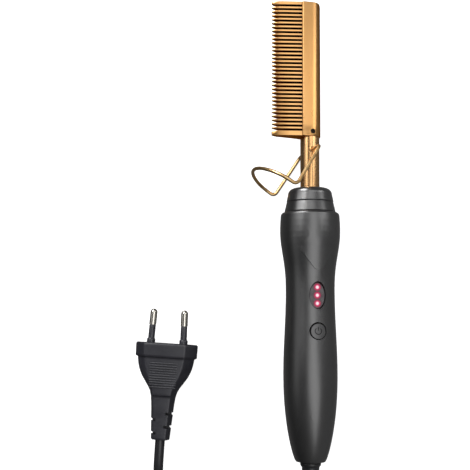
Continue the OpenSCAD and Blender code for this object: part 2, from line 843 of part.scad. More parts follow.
module mains_leads() {
    pad_x = board_w / 2 - 1.5;
    pad_p = board_lo + 3;
    start = holder_hi + seat;
    start_z = holder_z - 0.5;
    near_x = holder_w / 4;         // the leads leave the holder side by side
    wide_x = boss_r + 2 * lead_r;  // and pass either side of the lower screw's boss
    color(lead_red) lay() for (s = [-1, 1])
        lead([[s * near_x, start, start_z], [s * near_x, start + 2, start_z],
            [s * wide_x, screw_low_p - boss_r, holder_z], [s * wide_x, screw_low_p + boss_r, holder_z],
            [s * pad_x, pad_p - 8, holder_z / 2], [s * pad_x, pad_p, 1], [s * pad_x, pad_p, under]],
            lead_r);
}

// ---- cord ----
// Places are measured from the boot's free end along the table, heights from the table.
exit_at = laid([0, -boot_len, 0]);
coil_pitch = cord_d + coil_gap;
coil_out_r = coil_in_r + coil_turns * coil_pitch;
coil_z = cord_d / 2 + tie_t + 0.2;           // centre of the lower layer
coil_start = -42;                            // where the free stretches meet the coil's straight ends
coil_mid = [-coil_out_r, coil_start - cord_d];
cord_gap = 0.3;                              // the boot turns clear of the cord that lies still
free_route = [[0, -cord_gap, exit_at.z], [0, -5.4, exit_at.z - 0.1], [0, -12, 12.2], [0, -18, 10],
    [0, -24, 6.8], [0, -30, 4.6], [0, -36.6, coil_z], [0, coil_start, coil_z]];
coil_top_z = coil_z + coil_pitch;            // centre of the upper layer
tail_route = [[-2 * coil_out_r, coil_start, coil_top_z], [-2 * coil_out_r, -36.6, coil_top_z],
    [-88, -29, 8.6], [-88, -22, 6.2], [-87.6, -15, 3.8], [-87.1, -7, 2.75], [-86.4, 0, 2.75],
    [-85.6, 8, 2.75], [-84.9, 15.5, 3.6], [-84.3, 23.5, 5.9]];
plug_at = [-80.5, 89.9];                     // middle of the plug's face
plug_turn = -3.2;
plug_back = [plug_at.x + (plug_len + relief_len) * sin(plug_turn),
    plug_at.y - (plug_len + relief_len) * cos(plug_turn)];
tail_end = [[plug_back.x + 5.4 * sin(plug_turn), plug_back.y - 5.4 * cos(plug_turn), plug_t / 2],
    [plug_back.x, plug_back.y, plug_t / 2]];

// smooth curve through points: cubic between each pair
function curve_point(a, b, c, d, t) = 0.5 * (2 * b + (c - a) * t + (2 * a - 5 * b + 4 * c - d) * t * t
    + (3 * b - a - 3 * c + d) * t * t * t);
function curved(pts, parts) = let (last = len(pts) - 1) concat(
    [for (i = [0 : last - 1], k = [0 : parts - 1])
        curve_point(pts[max(i - 1, 0)], pts[i], pts[i + 1], pts[min(i + 2, last)], k / parts)],
    [pts[last]]);

module on_table() {
    translate([exit_at.x, exit_at.y, 0]) children();
}

module cord_free() {
    color(black) on_table() tube(free_route, cord_d / 2, 10);
}

module cord_tail() {
    color(black) on_table() tube(concat(tail_route, tail_end), cord_d / 2, 10);
}

// The coil spirals in along the table, climbs in half a turn and spirals out on top.
per_turn = 24;
half_turn = per_turn / 2;
wind = coil_turns * per_turn;      // steps in one layer
last_step = 2 * wind + half_turn;
function coil_radius(i) =
    i <= wind ? coil_out_r - coil_pitch * i / per_turn :
    i <= wind + half_turn ? coil_in_r - coil_pitch * min(i - wind, wind + half_turn - i) / per_turn :
    coil_in_r + coil_pitch * (i - wind - half_turn) / per_turn;
function coil_height(i) = coil_z + coil_pitch * min(1, max(0, (i - wind) / half_turn));
function coil_point(i) = let (a = -360 * i / per_turn, r = coil_radius(i))
    [coil_mid.x + r * cos(a), coil_mid.y + r * sin(a), coil_height(i)];
coil_points = concat([coil_point(0) + [0, cord_d, 0]], [for (i = [0 : last_step]) coil_point(i)],
    [coil_point(last_step) + [0, cord_d, 0]]);

// smallest distance between the cord's surface on one turn and on any other
coil_clear = min([for (i = [0 : last_step - half_turn], j = [i + half_turn : last_step])
    norm(coil_point(i) - coil_point(j))]) - cord_d;

module cord_coil() {
    color(black) on_table() tube(coil_points, cord_d / 2, 6);
}

// band round the coil at its far side
module coil_tie() {
    band = 6;
    room = 0.2;
    lo = coil_in_r - coil_pitch / 4 - cord_d / 2 - room;
    hi = coil_out_r - coil_pitch / 4 + cord_d / 2 + room;
    top = coil_top_z + cord_d / 2 + room;
    color("#2f2f33") on_table() translate([coil_mid.x, coil_mid.y, 0]) difference() {
        translate([-band / 2, -hi - tie_t, 0]) cube([band, hi - lo + 2 * tie_t, top + tie_t]);
        translate([-band, -hi, tie_t]) cube([2 * band, hi - lo, top - tie_t]);
    }
}

// ---- plug ----
pin_lean = atan((pin_base_gap - pin_tip_gap) / 2 / pin_len);
pocket = 6;                        // depth of the pins inside the plug
sleeve_r = 1.83;
sleeve_wall_t = 0.4;
sleeve_foot_r = 2.3;               // the sleeve's foot is wider where it leaves the plug
sleeve_foot_h = 2;
head_len = 8.5;
chamfer_w = 5;
relief_r0 = 6.1;
relief_r1 = 5;

module at_plug() {
    translate([exit_at.x + plug_at.x, exit_at.y + plug_at.y, plug_t / 2])
        rotate([0, 0, plug_turn]) children();
}

// each section of the plug: place behind the face, half width, half thickness
plug_sections = [
    [0, plug_w / 2 - 0.6, plug_t / 2 - 0.6],
    [0.6, plug_w / 2, plug_t / 2],
    [head_len - 0.4, plug_w / 2 - 0.3, plug_t / 2],
    [head_len, plug_w / 2 - 0.9, plug_t / 2 - 0.4],
    [head_len + 0.3, plug_w / 2 - 1.6, plug_t / 2 - 0.7],
    [13, plug_w / 2 - 2.8, plug_t / 2 - 0.9],
    [18, plug_w / 2 - 4.4, plug_t / 2 - 1.1],
    [22, 10.9, plug_t / 2 - 1.2],
    [26, 8.5, plug_t / 2 - 1.2],
    [30, 7.3, plug_t / 2 - 1.1],
    [plug_len - 2, 6.8, plug_t / 2 - 0.9],
    [plug_len, 6.4, plug_t / 2 - 0.9]];

function octagon(s) = let (c = min(chamfer_w, s[1] / 2.2), h = s[2] * 0.55) [
    [s[1], -s[0], -s[2] + h], [s[1], -s[0], s[2] - h], [s[1] - c, -s[0], s[2]], [c - s[1], -s[0], s[2]],
    [-s[1], -s[0], s[2] - h], [-s[1], -s[0], -s[2] + h], [c - s[1], -s[0], -s[2]],
    [s[1] - c, -s[0], -s[2]]];

module plug_solid() {
    n = len(plug_sections);
    points = [for (s = plug_sections) each octagon(s)];
    walls = [for (i = [0 : n - 2], k = [0 : 7]) let (a = i * 8 + k, b = i * 8 + (k + 1) % 8)
        each [[b, a, b + 8], [a, a + 8, b + 8]]];
    front = [for (k = [1 : 6]) [0, k, k + 1]];
    back = [for (k = [1 : 6]) [0, k + 1, k] + (n - 1) * 8 * [1, 1, 1]];
    polyhedron(points = points, faces = concat(walls, front, back));
}

module at_pin(side) {
    translate([side * pin_base_gap / 2, 0, 0]) rotate([0, 0, side * pin_lean])
        rotate([-90, 0, 0]) children();
}

// strain relief with slots cut from alternate sides
module relief() {
    cut_step = relief_len / 5;
    cut_deep = 2.2;
    cut_w = 1.7;
    difference() {
        translate([0, -plug_len - relief_len, 0]) rotate([-90, 0, 0])
            cylinder(r1 = relief_r1, r2 = relief_r0, h = relief_len, $fn = fine);
        for (i = [0 : 3]) translate([(i % 2 == 0 ? 1 : -1) * (relief_r0 - cut_deep / 2 + 0.4),
            -plug_len - cut_step * (i + 0.8), 0])
            cube([cut_deep, cut_w, 3 * relief_r0], center = true);
    }
}

module plug_body() {
    rib_count = 10;
    rib_pitch = 1.3;
    rib_size = [15, 0.6, plug_t - 1.2];
    rib_start = 13;
    color(black) at_plug() difference() {
        union() {
            plug_solid();
            relief();
            for (i = [0 : rib_count - 1]) translate([0, -rib_start - i * rib_pitch, 0])
                cube(rib_size, center = true);
        }
        for (side = [-1, 1]) at_pin(side) translate([0, 0, -pocket])
            cylinder(r = pin_r + seat, h = pocket + 1, $fn = fine);
    }
}

module pin_sleeves() {
    color("#1c1c1f") at_plug() for (side = [-1, 1]) at_pin(side) difference() {
        translate([0, 0, 0.02]) union() {
            cylinder(r = sleeve_r, h = sleeve_len, $fn = fine);
            cylinder(r = sleeve_foot_r, h = sleeve_foot_h, $fn = fine);
        }
        translate([0, 0, -1]) cylinder(r = sleeve_r - sleeve_wall_t, h = sleeve_len + 2, $fn = fine);
    }
}

module plug_pins() {
    core_r = sleeve_r - sleeve_wall_t - 0.01;
    color(steel) at_plug() for (side = [-1, 1]) at_pin(side)
        rotate_extrude($fn = fine) polygon(concat(
            [[0, -pocket], [pin_r, -pocket], [pin_r, -0.5], [core_r, -0.5], [core_r, sleeve_len + 0.02],
            [pin_r, sleeve_len + 0.02]],
            [for (a = [0 : 15 : 75]) [pin_r * cos(a), pin_len - pin_r + pin_r * sin(a)]],
            [[0, pin_len]]));
}

// ---- what the record states, worked out from the sizes ----
echo(knee_height = min([for (q = stand_path) laid(q).z]) - wire_r);
echo(lie_tilt = lie_tilt, lie_roll = lie_roll, origin_shift = [lie_x, lie_y, axis_z]);
echo(hinge_at = laid([0, hinge_p, 0]), hinge_axis = tilted(rolled([0, 0, 1])));
echo(button_at = laid([0, button_p, lip_top]), axis_dir = tilted([0, 1, 0]));
for (side = [-1, 1]) {
    lean = plug_turn + side * pin_lean;
    out = (sleeve_len + pin_len - pin_r) / 2;
    root = [exit_at.x + plug_at.x + side * pin_base_gap / 2 * cos(plug_turn),
        exit_at.y + plug_at.y + side * pin_base_gap / 2 * sin(plug_turn), plug_t / 2];
    echo(pin_at = root + out * [-sin(lean), cos(lean), 0], pin_axis = [-sin(lean), cos(lean), 0]);
}
echo(exit_at = exit_at, coil_mid = coil_mid, coil_out_r = coil_out_r, coil_clear = coil_clear);
function run_length(pts) = [for (i = [1 : len(pts) - 1]) norm(pts[i] - pts[i - 1])]
    * [for (i = [1 : len(pts) - 1]) 1];
echo(cord_length = run_length(free_route) + run_length(coil_points)
    + run_length(concat(tail_route, tail_end)));

comb_head();
comb_screw();
neck_tube();
stand_wire();
heater_sleeve();
ptc_plates();
electrodes();
thermistor();
thermal_fuse();
heater_leads();
nose_bush();
retaining_ring();
collar_cap();
collar_ring();
front_shell();
rear_shell();
display_lens();
leds();
led_shield();
power_button();
switch_plunger();
tact_switch();
circuit_board();
controller_chip();
capacitor();
triac();
fuse_resistor();
board_screws();
shell_screws();
swivel_bearing();
swivel_boot();
slip_rings();
brush_holder();
brushes();
mains_leads();
plug_body();
pin_sleeves();
plug_pins();
cord_free();
cord_coil();
cord_tail();
coil_tie();
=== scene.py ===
import json
import math
import bpy
import bmesh
from mathutils import Matrix, Vector
from mathutils.bvhtree import BVHTree


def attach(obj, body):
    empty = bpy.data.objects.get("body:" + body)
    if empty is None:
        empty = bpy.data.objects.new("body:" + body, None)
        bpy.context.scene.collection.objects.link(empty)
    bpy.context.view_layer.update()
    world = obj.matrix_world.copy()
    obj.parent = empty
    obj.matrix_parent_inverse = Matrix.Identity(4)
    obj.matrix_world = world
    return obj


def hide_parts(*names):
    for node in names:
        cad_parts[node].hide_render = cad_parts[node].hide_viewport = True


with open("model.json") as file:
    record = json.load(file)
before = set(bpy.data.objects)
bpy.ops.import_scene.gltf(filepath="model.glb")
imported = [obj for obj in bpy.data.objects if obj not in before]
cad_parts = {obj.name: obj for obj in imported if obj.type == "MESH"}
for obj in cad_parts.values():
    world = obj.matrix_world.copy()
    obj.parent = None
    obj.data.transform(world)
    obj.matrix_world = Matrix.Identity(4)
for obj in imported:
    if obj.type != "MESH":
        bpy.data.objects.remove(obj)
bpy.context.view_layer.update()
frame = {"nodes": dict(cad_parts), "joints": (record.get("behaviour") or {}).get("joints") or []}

mm = 0.001
print("frame loaded")

# the handle's own directions, taken from the joints
joints = {j["name"]: j for j in frame["joints"]}
alongDir = Vector(joints["cord_swivel"]["axis"]).normalized()      # from the cord end to the comb's tip
frontDir = -Vector(joints["stand_fold"]["axis"]).normalized()      # out of the display
sideDir = alongDir.cross(frontDir)                                 # towards the comb's round spine
handleFoot = Vector(joints["cord_swivel"]["pos_m"])                # middle of the handle's cord end
handleMatrix = Matrix((sideDir, alongDir, frontDir)).transposed().to_4x4()
handleMatrix.translation = handleFoot
hingePlace = (Vector(joints["stand_fold"]["pos_m"]) - handleFoot).dot(alongDir) / mm
combFoot = hingePlace + 7.6     # the comb starts 7.6 mm above the stand's hinge
combLength = 76.0


# a place in millimetres: towards the round spine, along the axis from the cord end, and out of the display
def atHandle(side, along, front=0.0):
    return handleMatrix @ (Vector((side, along, front)) * mm)


def anglesRound(count):
    return [2 * math.pi * k / count for k in range(count)]


camera = {
    "spot": (0.01712, -0.04737, 0.48228),
    "look": (-0.10723, 0.12134, -0.98680),
    "up": (0.00435, 0.99257, 0.12157),
    "focal": 65.06,
    "film": 36.0,
}
camData = bpy.data.cameras.new("camera")
camData.lens = camera["focal"]
camData.sensor_width = camera["film"]
camData.clip_start = 0.01
cam = bpy.data.objects.new("camera", camData)
back = -Vector(camera["look"]).normalized()
right = Vector(camera["up"]).cross(back).normalized()
cam.matrix_world = Matrix((right, back.cross(right), back)).transposed().to_4x4()
cam.location = camera["spot"]
bpy.context.collection.objects.link(cam)
bpy.context.scene.camera = cam
print("camera set")


# an sRGB hex colour as linear values
def linear(hexColor):
    parts = [int(hexColor[i:i + 2], 16) / 255 for i in (1, 3, 5)]
    return tuple(c / 12.92 if c <= 0.04045 else ((c + 0.055) / 1.055) ** 2.4 for c in parts) + (1.0,)


def grey(value):
    return (value, value, value, 1)


def addNode(tree, kind, settings=None, links=None):
    node = tree.nodes.new(kind)
    for name, value in (settings or {}).items():
        if isinstance(name, int) or name in node.inputs:
            node.inputs[name].default_value = value
        else:
            setattr(node, name, value)
    for name, source in (links or {}).items():
        tree.links.new(source, node.inputs[name])
    return node


def setStops(node, stops):
    elements = node.color_ramp.elements
    while len(elements) < len(stops):
        elements.new(0.5)
    for element, (place, color) in zip(elements, stops):
        element.position = place
        element.color = color


# a principled material with its coordinates in millimetres, turned into a piece's own directions
def startMaterial(name, matrix=None):
    material = bpy.data.materials.new(name)
    material.use_nodes = True
    tree = material.node_tree
    inverse = (matrix or Matrix()).inverted()
    coords = addNode(tree, "ShaderNodeTexCoord")
    placed = addNode(tree, "ShaderNodeMapping",
                     {"Location": inverse.translation / mm, "Rotation": inverse.to_euler(),
                      "Scale": (1000, 1000, 1000)}, {"Vector": coords.outputs["Object"]})
    return material, tree, tree.nodes["Principled BSDF"], placed.outputs["Vector"]


# the coordinates that startMaterial gave a material
def placeIn(tree):
    return next(n for n in tree.nodes if n.type == "MAPPING").outputs["Vector"]


noiseLow, noiseHigh = 0.3, 0.7      # nearly all of a noise's values lie between these
grainDepth = 0.05 * mm


# tone and roughness drift over "driftSize" millimetres, and "grainSize" millimetres is the surface's texture
def finish(name, look, matrix=None):
    material, tree, shader, place = startMaterial(name, matrix)
    drawn = addNode(tree, "ShaderNodeMapping", {"Scale": look.get("drawn", (1, 1, 1))}, {"Vector": place})
    drift = addNode(tree, "ShaderNodeTexNoise",
                    {"Scale": 1 / look["driftSize"], "Detail": 4, "Roughness": 0.6},
                    {"Vector": drawn.outputs["Vector"]})
    tones = addNode(tree, "ShaderNodeValToRGB", None, {"Fac": drift.outputs["Fac"]})
    setStops(tones, [(noiseLow, linear(look["dark"])), (noiseHigh, linear(look["light"]))])
    low, high = look["roughness"]
    rough = addNode(tree, "ShaderNodeMapRange",
                    {"From Min": noiseLow, "From Max": noiseHigh, "To Min": low, "To Max": high},
                    {"Value": drift.outputs["Fac"]})
    grain = addNode(tree, "ShaderNodeTexNoise", {"Scale": 1 / look["grainSize"], "Detail": 3},
                    {"Vector": drawn.outputs["Vector"]})
    bump = addNode(tree, "ShaderNodeBump", {"Strength": look["bump"], "Distance": grainDepth},
                   {"Height": grain.outputs["Fac"]})
    tree.links.new(tones.outputs["Color"], shader.inputs["Base Color"])
    tree.links.new(rough.outputs["Result"], shader.inputs["Roughness"])
    tree.links.new(bump.outputs["Normal"], shader.inputs["Normal"])
    for socket, value in look.get("shader", {}).items():
        shader.inputs[socket].default_value = value
    return material


# gold plate on a sanded aluminium casting: warm, broad satin highlights with a faint lengthwise grain
combLook = {"dark": "#D49E60", "light": "#E3B073", "roughness": (0.27, 0.34), "driftSize": 9,
            "grainSize": 0.35, "bump": 0.16, "drawn": (1, 0.12, 1),
            "shader": {"Metallic": 1.0, "Specular Tint": linear("#E08A54")}}
# gold plate on drawn steel tube: brighter, with narrow bands along it
tubeLook = {"dark": "#D8A66E", "light": "#EABC88", "roughness": (0.20, 0.27), "driftSize": 6,
            "grainSize": 0.3, "bump": 0.10, "drawn": (1, 0.1, 1), "shader": {"Metallic": 1.0}}
# gold plate on bent spring wire: pale, with a thin bright line
wireLook = {"dark": "#E0AF6E", "light": "#F4D29C", "roughness": (0.27, 0.34), "driftSize": 4,
            "grainSize": 0.25, "bump": 0.08, "shader": {"Metallic": 1.0}}
tubeGold = finish("goldPlatedTube", tubeLook, handleMatrix)
wireGold = finish("goldPlatedWire", wireLook, handleMatrix)

# plastics and the like; their real grain is a few hundredths of a millimetre, drawn coarser so that it shows
mouldedLooks = {
    # soft-touch paint over moulded ABS: charcoal, with wide silky highlights
    "softTouchPaint": {"dark": "#111112", "light": "#171718", "roughness": (0.34, 0.40), "driftSize": 14,
                       "grainSize": 0.3, "bump": 0.20,
                       "shader": {"Coat Weight": 1.0, "Coat Roughness": 0.32, "Coat IOR": 1.9}},
    # turned nylon: the same charcoal, glossier
    "turnedNylon": {"dark": "#131314", "light": "#19191A", "roughness": (0.30, 0.36), "driftSize": 8,
                    "grainSize": 0.3, "bump": 0.15,
                    "shader": {"Coat Weight": 1.0, "Coat Roughness": 0.28, "Coat IOR": 2.0}},
    # spark-eroded ABS: an even, slightly paler satin
    "satinAbs": {"dark": "#242425", "light": "#2C2C2D", "roughness": (0.36, 0.42), "driftSize": 4,
                 "grainSize": 0.3, "bump": 0.12,
                 "shader": {"Coat Weight": 0.8, "Coat Roughness": 0.35, "Coat IOR": 1.8}},
    # pad-printed ink: flat and darker than what it lies on
    "printedInk": {"dark": "#070708", "light": "#0C0C0D", "roughness": (0.55, 0.6), "driftSize": 2,
                   "grainSize": 0.3, "bump": 0.05},
    # moulded PVC: near black with a soft gloss
    "mouldedPvc": {"dark": "#1A1A1C", "light": "#222225", "roughness": (0.34, 0.42), "driftSize": 6,
                   "grainSize": 0.35, "bump": 0.2, "shader": {"Coat Weight": 0.3, "Coat Roughness": 0.35}},
    # PVC from a textured mould: blue-black, dull on its flats
    "texturedPvc": {"dark": "#191920", "light": "#222229", "roughness": (0.38, 0.46), "driftSize": 9,
                    "grainSize": 0.4, "bump": 0.3, "shader": {"Coat Weight": 0.35, "Coat Roughness": 0.36}},
    # hard PVC round the pins: smooth and shiny
    "glossPvc": {"dark": "#202026", "light": "#2A2A31", "roughness": (0.26, 0.32), "driftSize": 3,
                 "grainSize": 0.25, "bump": 0.1, "shader": {"Coat Weight": 0.4}},
    # extruded PVC sheath: black, one soft line of light along it
    "extrudedPvc": {"dark": "#18181B", "light": "#212125", "roughness": (0.32, 0.40), "driftSize": 7,
                    "grainSize": 0.4, "bump": 0.25, "shader": {"Coat Weight": 0.3, "Coat Roughness": 0.3}},
    # woven nylon tape: matt and thready
    "wovenNylon": {"dark": "#222226", "light": "#303036", "roughness": (0.75, 0.9), "driftSize": 1.2,
                   "grainSize": 0.6, "bump": 0.9},
    # pressed phenolic: brown and slightly mottled
    "pressedPhenolic": {"dark": "#3A2A20", "light": "#4A382B", "roughness": (0.5, 0.6), "driftSize": 2.5,
                        "grainSize": 0.4, "bump": 0.4},
    # machined acetal: milky and slippery
    "machinedAcetal": {"dark": "#D8D2C2", "light": "#E6E1D4", "roughness": (0.35, 0.42), "driftSize": 4,
                       "grainSize": 0.3, "bump": 0.1, "shader": {"Subsurface Weight": 0.05}},
    # glass-filled nylon and black epoxy: dull black with a speckle
    "glassFilledNylon": {"dark": "#18181A", "light": "#212124", "roughness": (0.45, 0.55), "driftSize": 2,
                         "grainSize": 0.25, "bump": 0.3},
    # moulded PBT: flat grey
    "mouldedPbt": {"dark": "#505459", "light": "#5D6268", "roughness": (0.4, 0.5), "driftSize": 2,
                   "grainSize": 0.3, "bump": 0.2},
    # dipped epoxy: mustard and glossy, with soft waves
    "dippedEpoxy": {"dark": "#9C7826", "light": "#B58E34", "roughness": (0.3, 0.4), "driftSize": 4,
                    "grainSize": 0.35, "bump": 0.3},
    # baked lacquer: pale blue with a low shine
    "bakedLacquer": {"dark": "#3B74A0", "light": "#4A86B4", "roughness": (0.3, 0.4), "driftSize": 2.5,
                     "grainSize": 0.3, "bump": 0.2},
    # silicone sleeving: dull and dusty
    "redSilicone": {"dark": "#94302A", "light": "#A93E36", "roughness": (0.5, 0.6), "driftSize": 5,
                    "grainSize": 0.4, "bump": 0.2},
    "blackSilicone": {"dark": "#222224", "light": "#2E2E31", "roughness": (0.5, 0.6), "driftSize": 3,
                      "grainSize": 0.3, "bump": 0.2},
    # wound polyimide film: amber and glossy
    "polyimideFilm": {"dark": "#A8650E", "light": "#C47E1E", "roughness": (0.25, 0.35), "driftSize": 5,
                      "grainSize": 0.6, "bump": 0.2, "shader": {"Coat Weight": 0.5}},
    # fired alumina and PTC stone: chalky
    "firedCeramic": {"dark": "#DAD4C6", "light": "#EAE5DA", "roughness": (0.6, 0.7), "driftSize": 2,
                     "grainSize": 0.25, "bump": 0.5},
}
metalLooks = {
    # nickel plate on turned brass: bright with a trace of warmth
    "nickelPlate": {"dark": "#CFCAC0", "light": "#E8E4DC", "roughness": (0.14, 0.2), "driftSize": 3,
                    "grainSize": 0.25, "bump": 0.08, "shader": {"Metallic": 1.0}},
    # zinc plate on rolled steel: cool and slightly cloudy
    "zincPlate": {"dark": "#A5A8AC", "light": "#BFC2C6", "roughness": (0.3, 0.4), "driftSize": 2,
                  "grainSize": 0.25, "bump": 0.2, "shader": {"Metallic": 1.0}},
    # rolled aluminium strip: pale, with soft streaks
    "rolledAluminium": {"dark": "#C4C6C8", "light": "#D8DADC", "roughness": (0.3, 0.4), "driftSize": 5,
                        "grainSize": 0.5, "bump": 0.3, "drawn": (1, 0.2, 1), "shader": {"Metallic": 1.0}},
    # turned brass: yellow, with the tool's fine rings
    "turnedBrass": {"dark": "#B98E42", "light": "#CFA657", "roughness": (0.22, 0.3), "driftSize": 3,
                    "grainSize": 0.3, "bump": 0.15, "drawn": (0.3, 1, 0.3), "shader": {"Metallic": 1.0}},
    # black oxide on a steel set screw: dark and oily, with worn spots
    "blackOxide": {"dark": "#241F19", "light": "#383027", "roughness": (0.32, 0.42), "driftSize": 1,
                   "grainSize": 0.2, "bump": 0.3, "shader": {"Metallic": 1.0}},
}
moulded = {name: finish(name, look, handleMatrix) for name, look in mouldedLooks.items()}
metals = {name: finish(name, look, handleMatrix) for name, look in metalLooks.items()}

# the comb's satin gold, with painted shade in the slots: it darkens from the tips to near black at the root, on
# faces that look along the comb or out of a slot, and stops short of the comb's ends
combSlotShade = {"heat": ((0.0, "#D0904E"), (0.45, "#30130A"), (0.8, "#0B0402")), "tipSide": -22.0,
            "rootSide": -6.0, "rootRoom": 0.3, "endRoom": 0.5, "facing": (0.8, 0.95)}


def combMaterial():
    material = finish("goldPlatedCasting", combLook, handleMatrix)
    tree = material.node_tree
    shader = tree.nodes["Principled BSDF"]
    plating = shader.inputs["Base Color"].links[0].from_socket
    split = addNode(tree, "ShaderNodeSeparateXYZ", None, {"Vector": placeIn(tree)})
    depth = addNode(tree, "ShaderNodeMapRange",
                    {"From Min": combSlotShade["tipSide"], "From Max": combSlotShade["rootSide"]},
                    {"Value": split.outputs["X"]})
    heat = addNode(tree, "ShaderNodeValToRGB", None, {"Fac": depth.outputs["Result"]})
    setStops(heat, [(share, linear(tone)) for share, tone in combSlotShade["heat"]])
    facing = addNode(tree, "ShaderNodeTexCoord").outputs["Normal"]
    lengthwise = addNode(tree, "ShaderNodeVectorMath", {"operation": "DOT_PRODUCT", 1: alongDir}, {0: facing})
    sideways = addNode(tree, "ShaderNodeVectorMath", {"operation": "DOT_PRODUCT", 1: -sideDir}, {0: facing})
    wall = addNode(tree, "ShaderNodeMath", {"operation": "ABSOLUTE"}, {0: lengthwise.outputs["Value"]})
    bottom = addNode(tree, "ShaderNodeMath", {"operation": "MAXIMUM"},
                     {0: wall.outputs["Value"], 1: sideways.outputs["Value"]})
    inside = addNode(tree, "ShaderNodeMapRange",
                     {"From Min": combSlotShade["facing"][0], "From Max": combSlotShade["facing"][1]},
                     {"Value": bottom.outputs["Value"]})
    root = combSlotShade["rootSide"] + combSlotShade["rootRoom"]
    low, high = combFoot + combSlotShade["endRoom"], combFoot + combLength - combSlotShade["endRoom"]
    beside = addNode(tree, "ShaderNodeMath", {"operation": "LESS_THAN", 1: root}, {0: split.outputs["X"]})
    above = addNode(tree, "ShaderNodeMath", {"operation": "GREATER_THAN", 1: low}, {0: split.outputs["Y"]})
    below = addNode(tree, "ShaderNodeMath", {"operation": "LESS_THAN", 1: high}, {0: split.outputs["Y"]})
    factor = inside.outputs["Result"]
    for limit in (beside, above, below):
        factor = addNode(tree, "ShaderNodeMath", {"operation": "MULTIPLY"},
                         {0: factor, 1: limit.outputs["Value"]}).outputs["Value"]
    # painted slot shade mixed over the plating's colour
    mixed = addNode(tree, "ShaderNodeMix", {"data_type": "RGBA"},
                    {0: factor, 6: plating, 7: heat.outputs["Color"]})
    tree.links.new(mixed.outputs[2], shader.inputs["Base Color"])
    return material


# shadow in the gap round an oval or round piece: between two shares of its half sizes it turns near black and
# loses its shine
rimShadow = {"color": "#050505", "start": 0.86, "end": 0.97, "specular": 0.5, "coat": 0.8}


def darkenRim(material, halves, middle):
    tree = material.node_tree
    shader = tree.nodes["Principled BSDF"]
    tone = shader.inputs["Base Color"].links[0].from_socket
    start, end, specular = rimShadow["start"], rimShadow["end"], rimShadow["specular"]
    inside = addNode(tree, "ShaderNodeVectorMath", {"operation": "SUBTRACT", 1: (*middle, 0)},
                     {0: placeIn(tree)})
    shrunk = addNode(tree, "ShaderNodeVectorMath",
                     {"operation": "MULTIPLY", 1: (1 / halves[0], 1 / halves[1], 0)},
                     {0: inside.outputs["Vector"]})
    out = addNode(tree, "ShaderNodeVectorMath", {"operation": "LENGTH"}, {0: shrunk.outputs["Vector"]})
    shade = addNode(tree, "ShaderNodeMapRange", {"From Min": start, "From Max": end},
                    {"Value": out.outputs["Value"]})
    mixed = addNode(tree, "ShaderNodeMix", {"data_type": "RGBA", 7: linear(rimShadow["color"])},
                    {0: shade.outputs["Result"], 6: tone})
    dull = addNode(tree, "ShaderNodeMapRange",
                   {"From Min": start, "From Max": end, "To Min": specular, "To Max": 0.0},
                   {"Value": out.outputs["Value"]})
    coat = addNode(tree, "ShaderNodeMath", {"operation": "MULTIPLY", 1: rimShadow["coat"] / specular},
                   {0: dull.outputs["Result"]})
    tree.links.new(mixed.outputs[2], shader.inputs["Base Color"])
    tree.links.new(dull.outputs["Result"], shader.inputs["Specular IOR Level"])
    tree.links.new(coat.outputs["Value"], shader.inputs["Coat Weight"])


buttonLook = {"middle": (0.15, 69.35), "rim": (4.4, 4.4)}


def buttonMaterial():
    material = moulded["satinAbs"]
    darkenRim(material, buttonLook["rim"], buttonLook["middle"])
    return material


# smoked polycarbonate over three red lamps: grey, with a white-pink core and a crimson bloom at each lamp,
# sized in millimetres from the lamp's middle
lensLook = {"middle": 88.4, "pitch": 4.3, "core": 0.82, "bloom": 2.4, "reach": 3.0, "hazeSize": 3.0,
            "smoke": "#4C494B", "haze": "#5C585A", "bloomBase": "#240410", "rim": (4.55, 7.4),
            "rimMiddle": (-0.2, 88.25)}


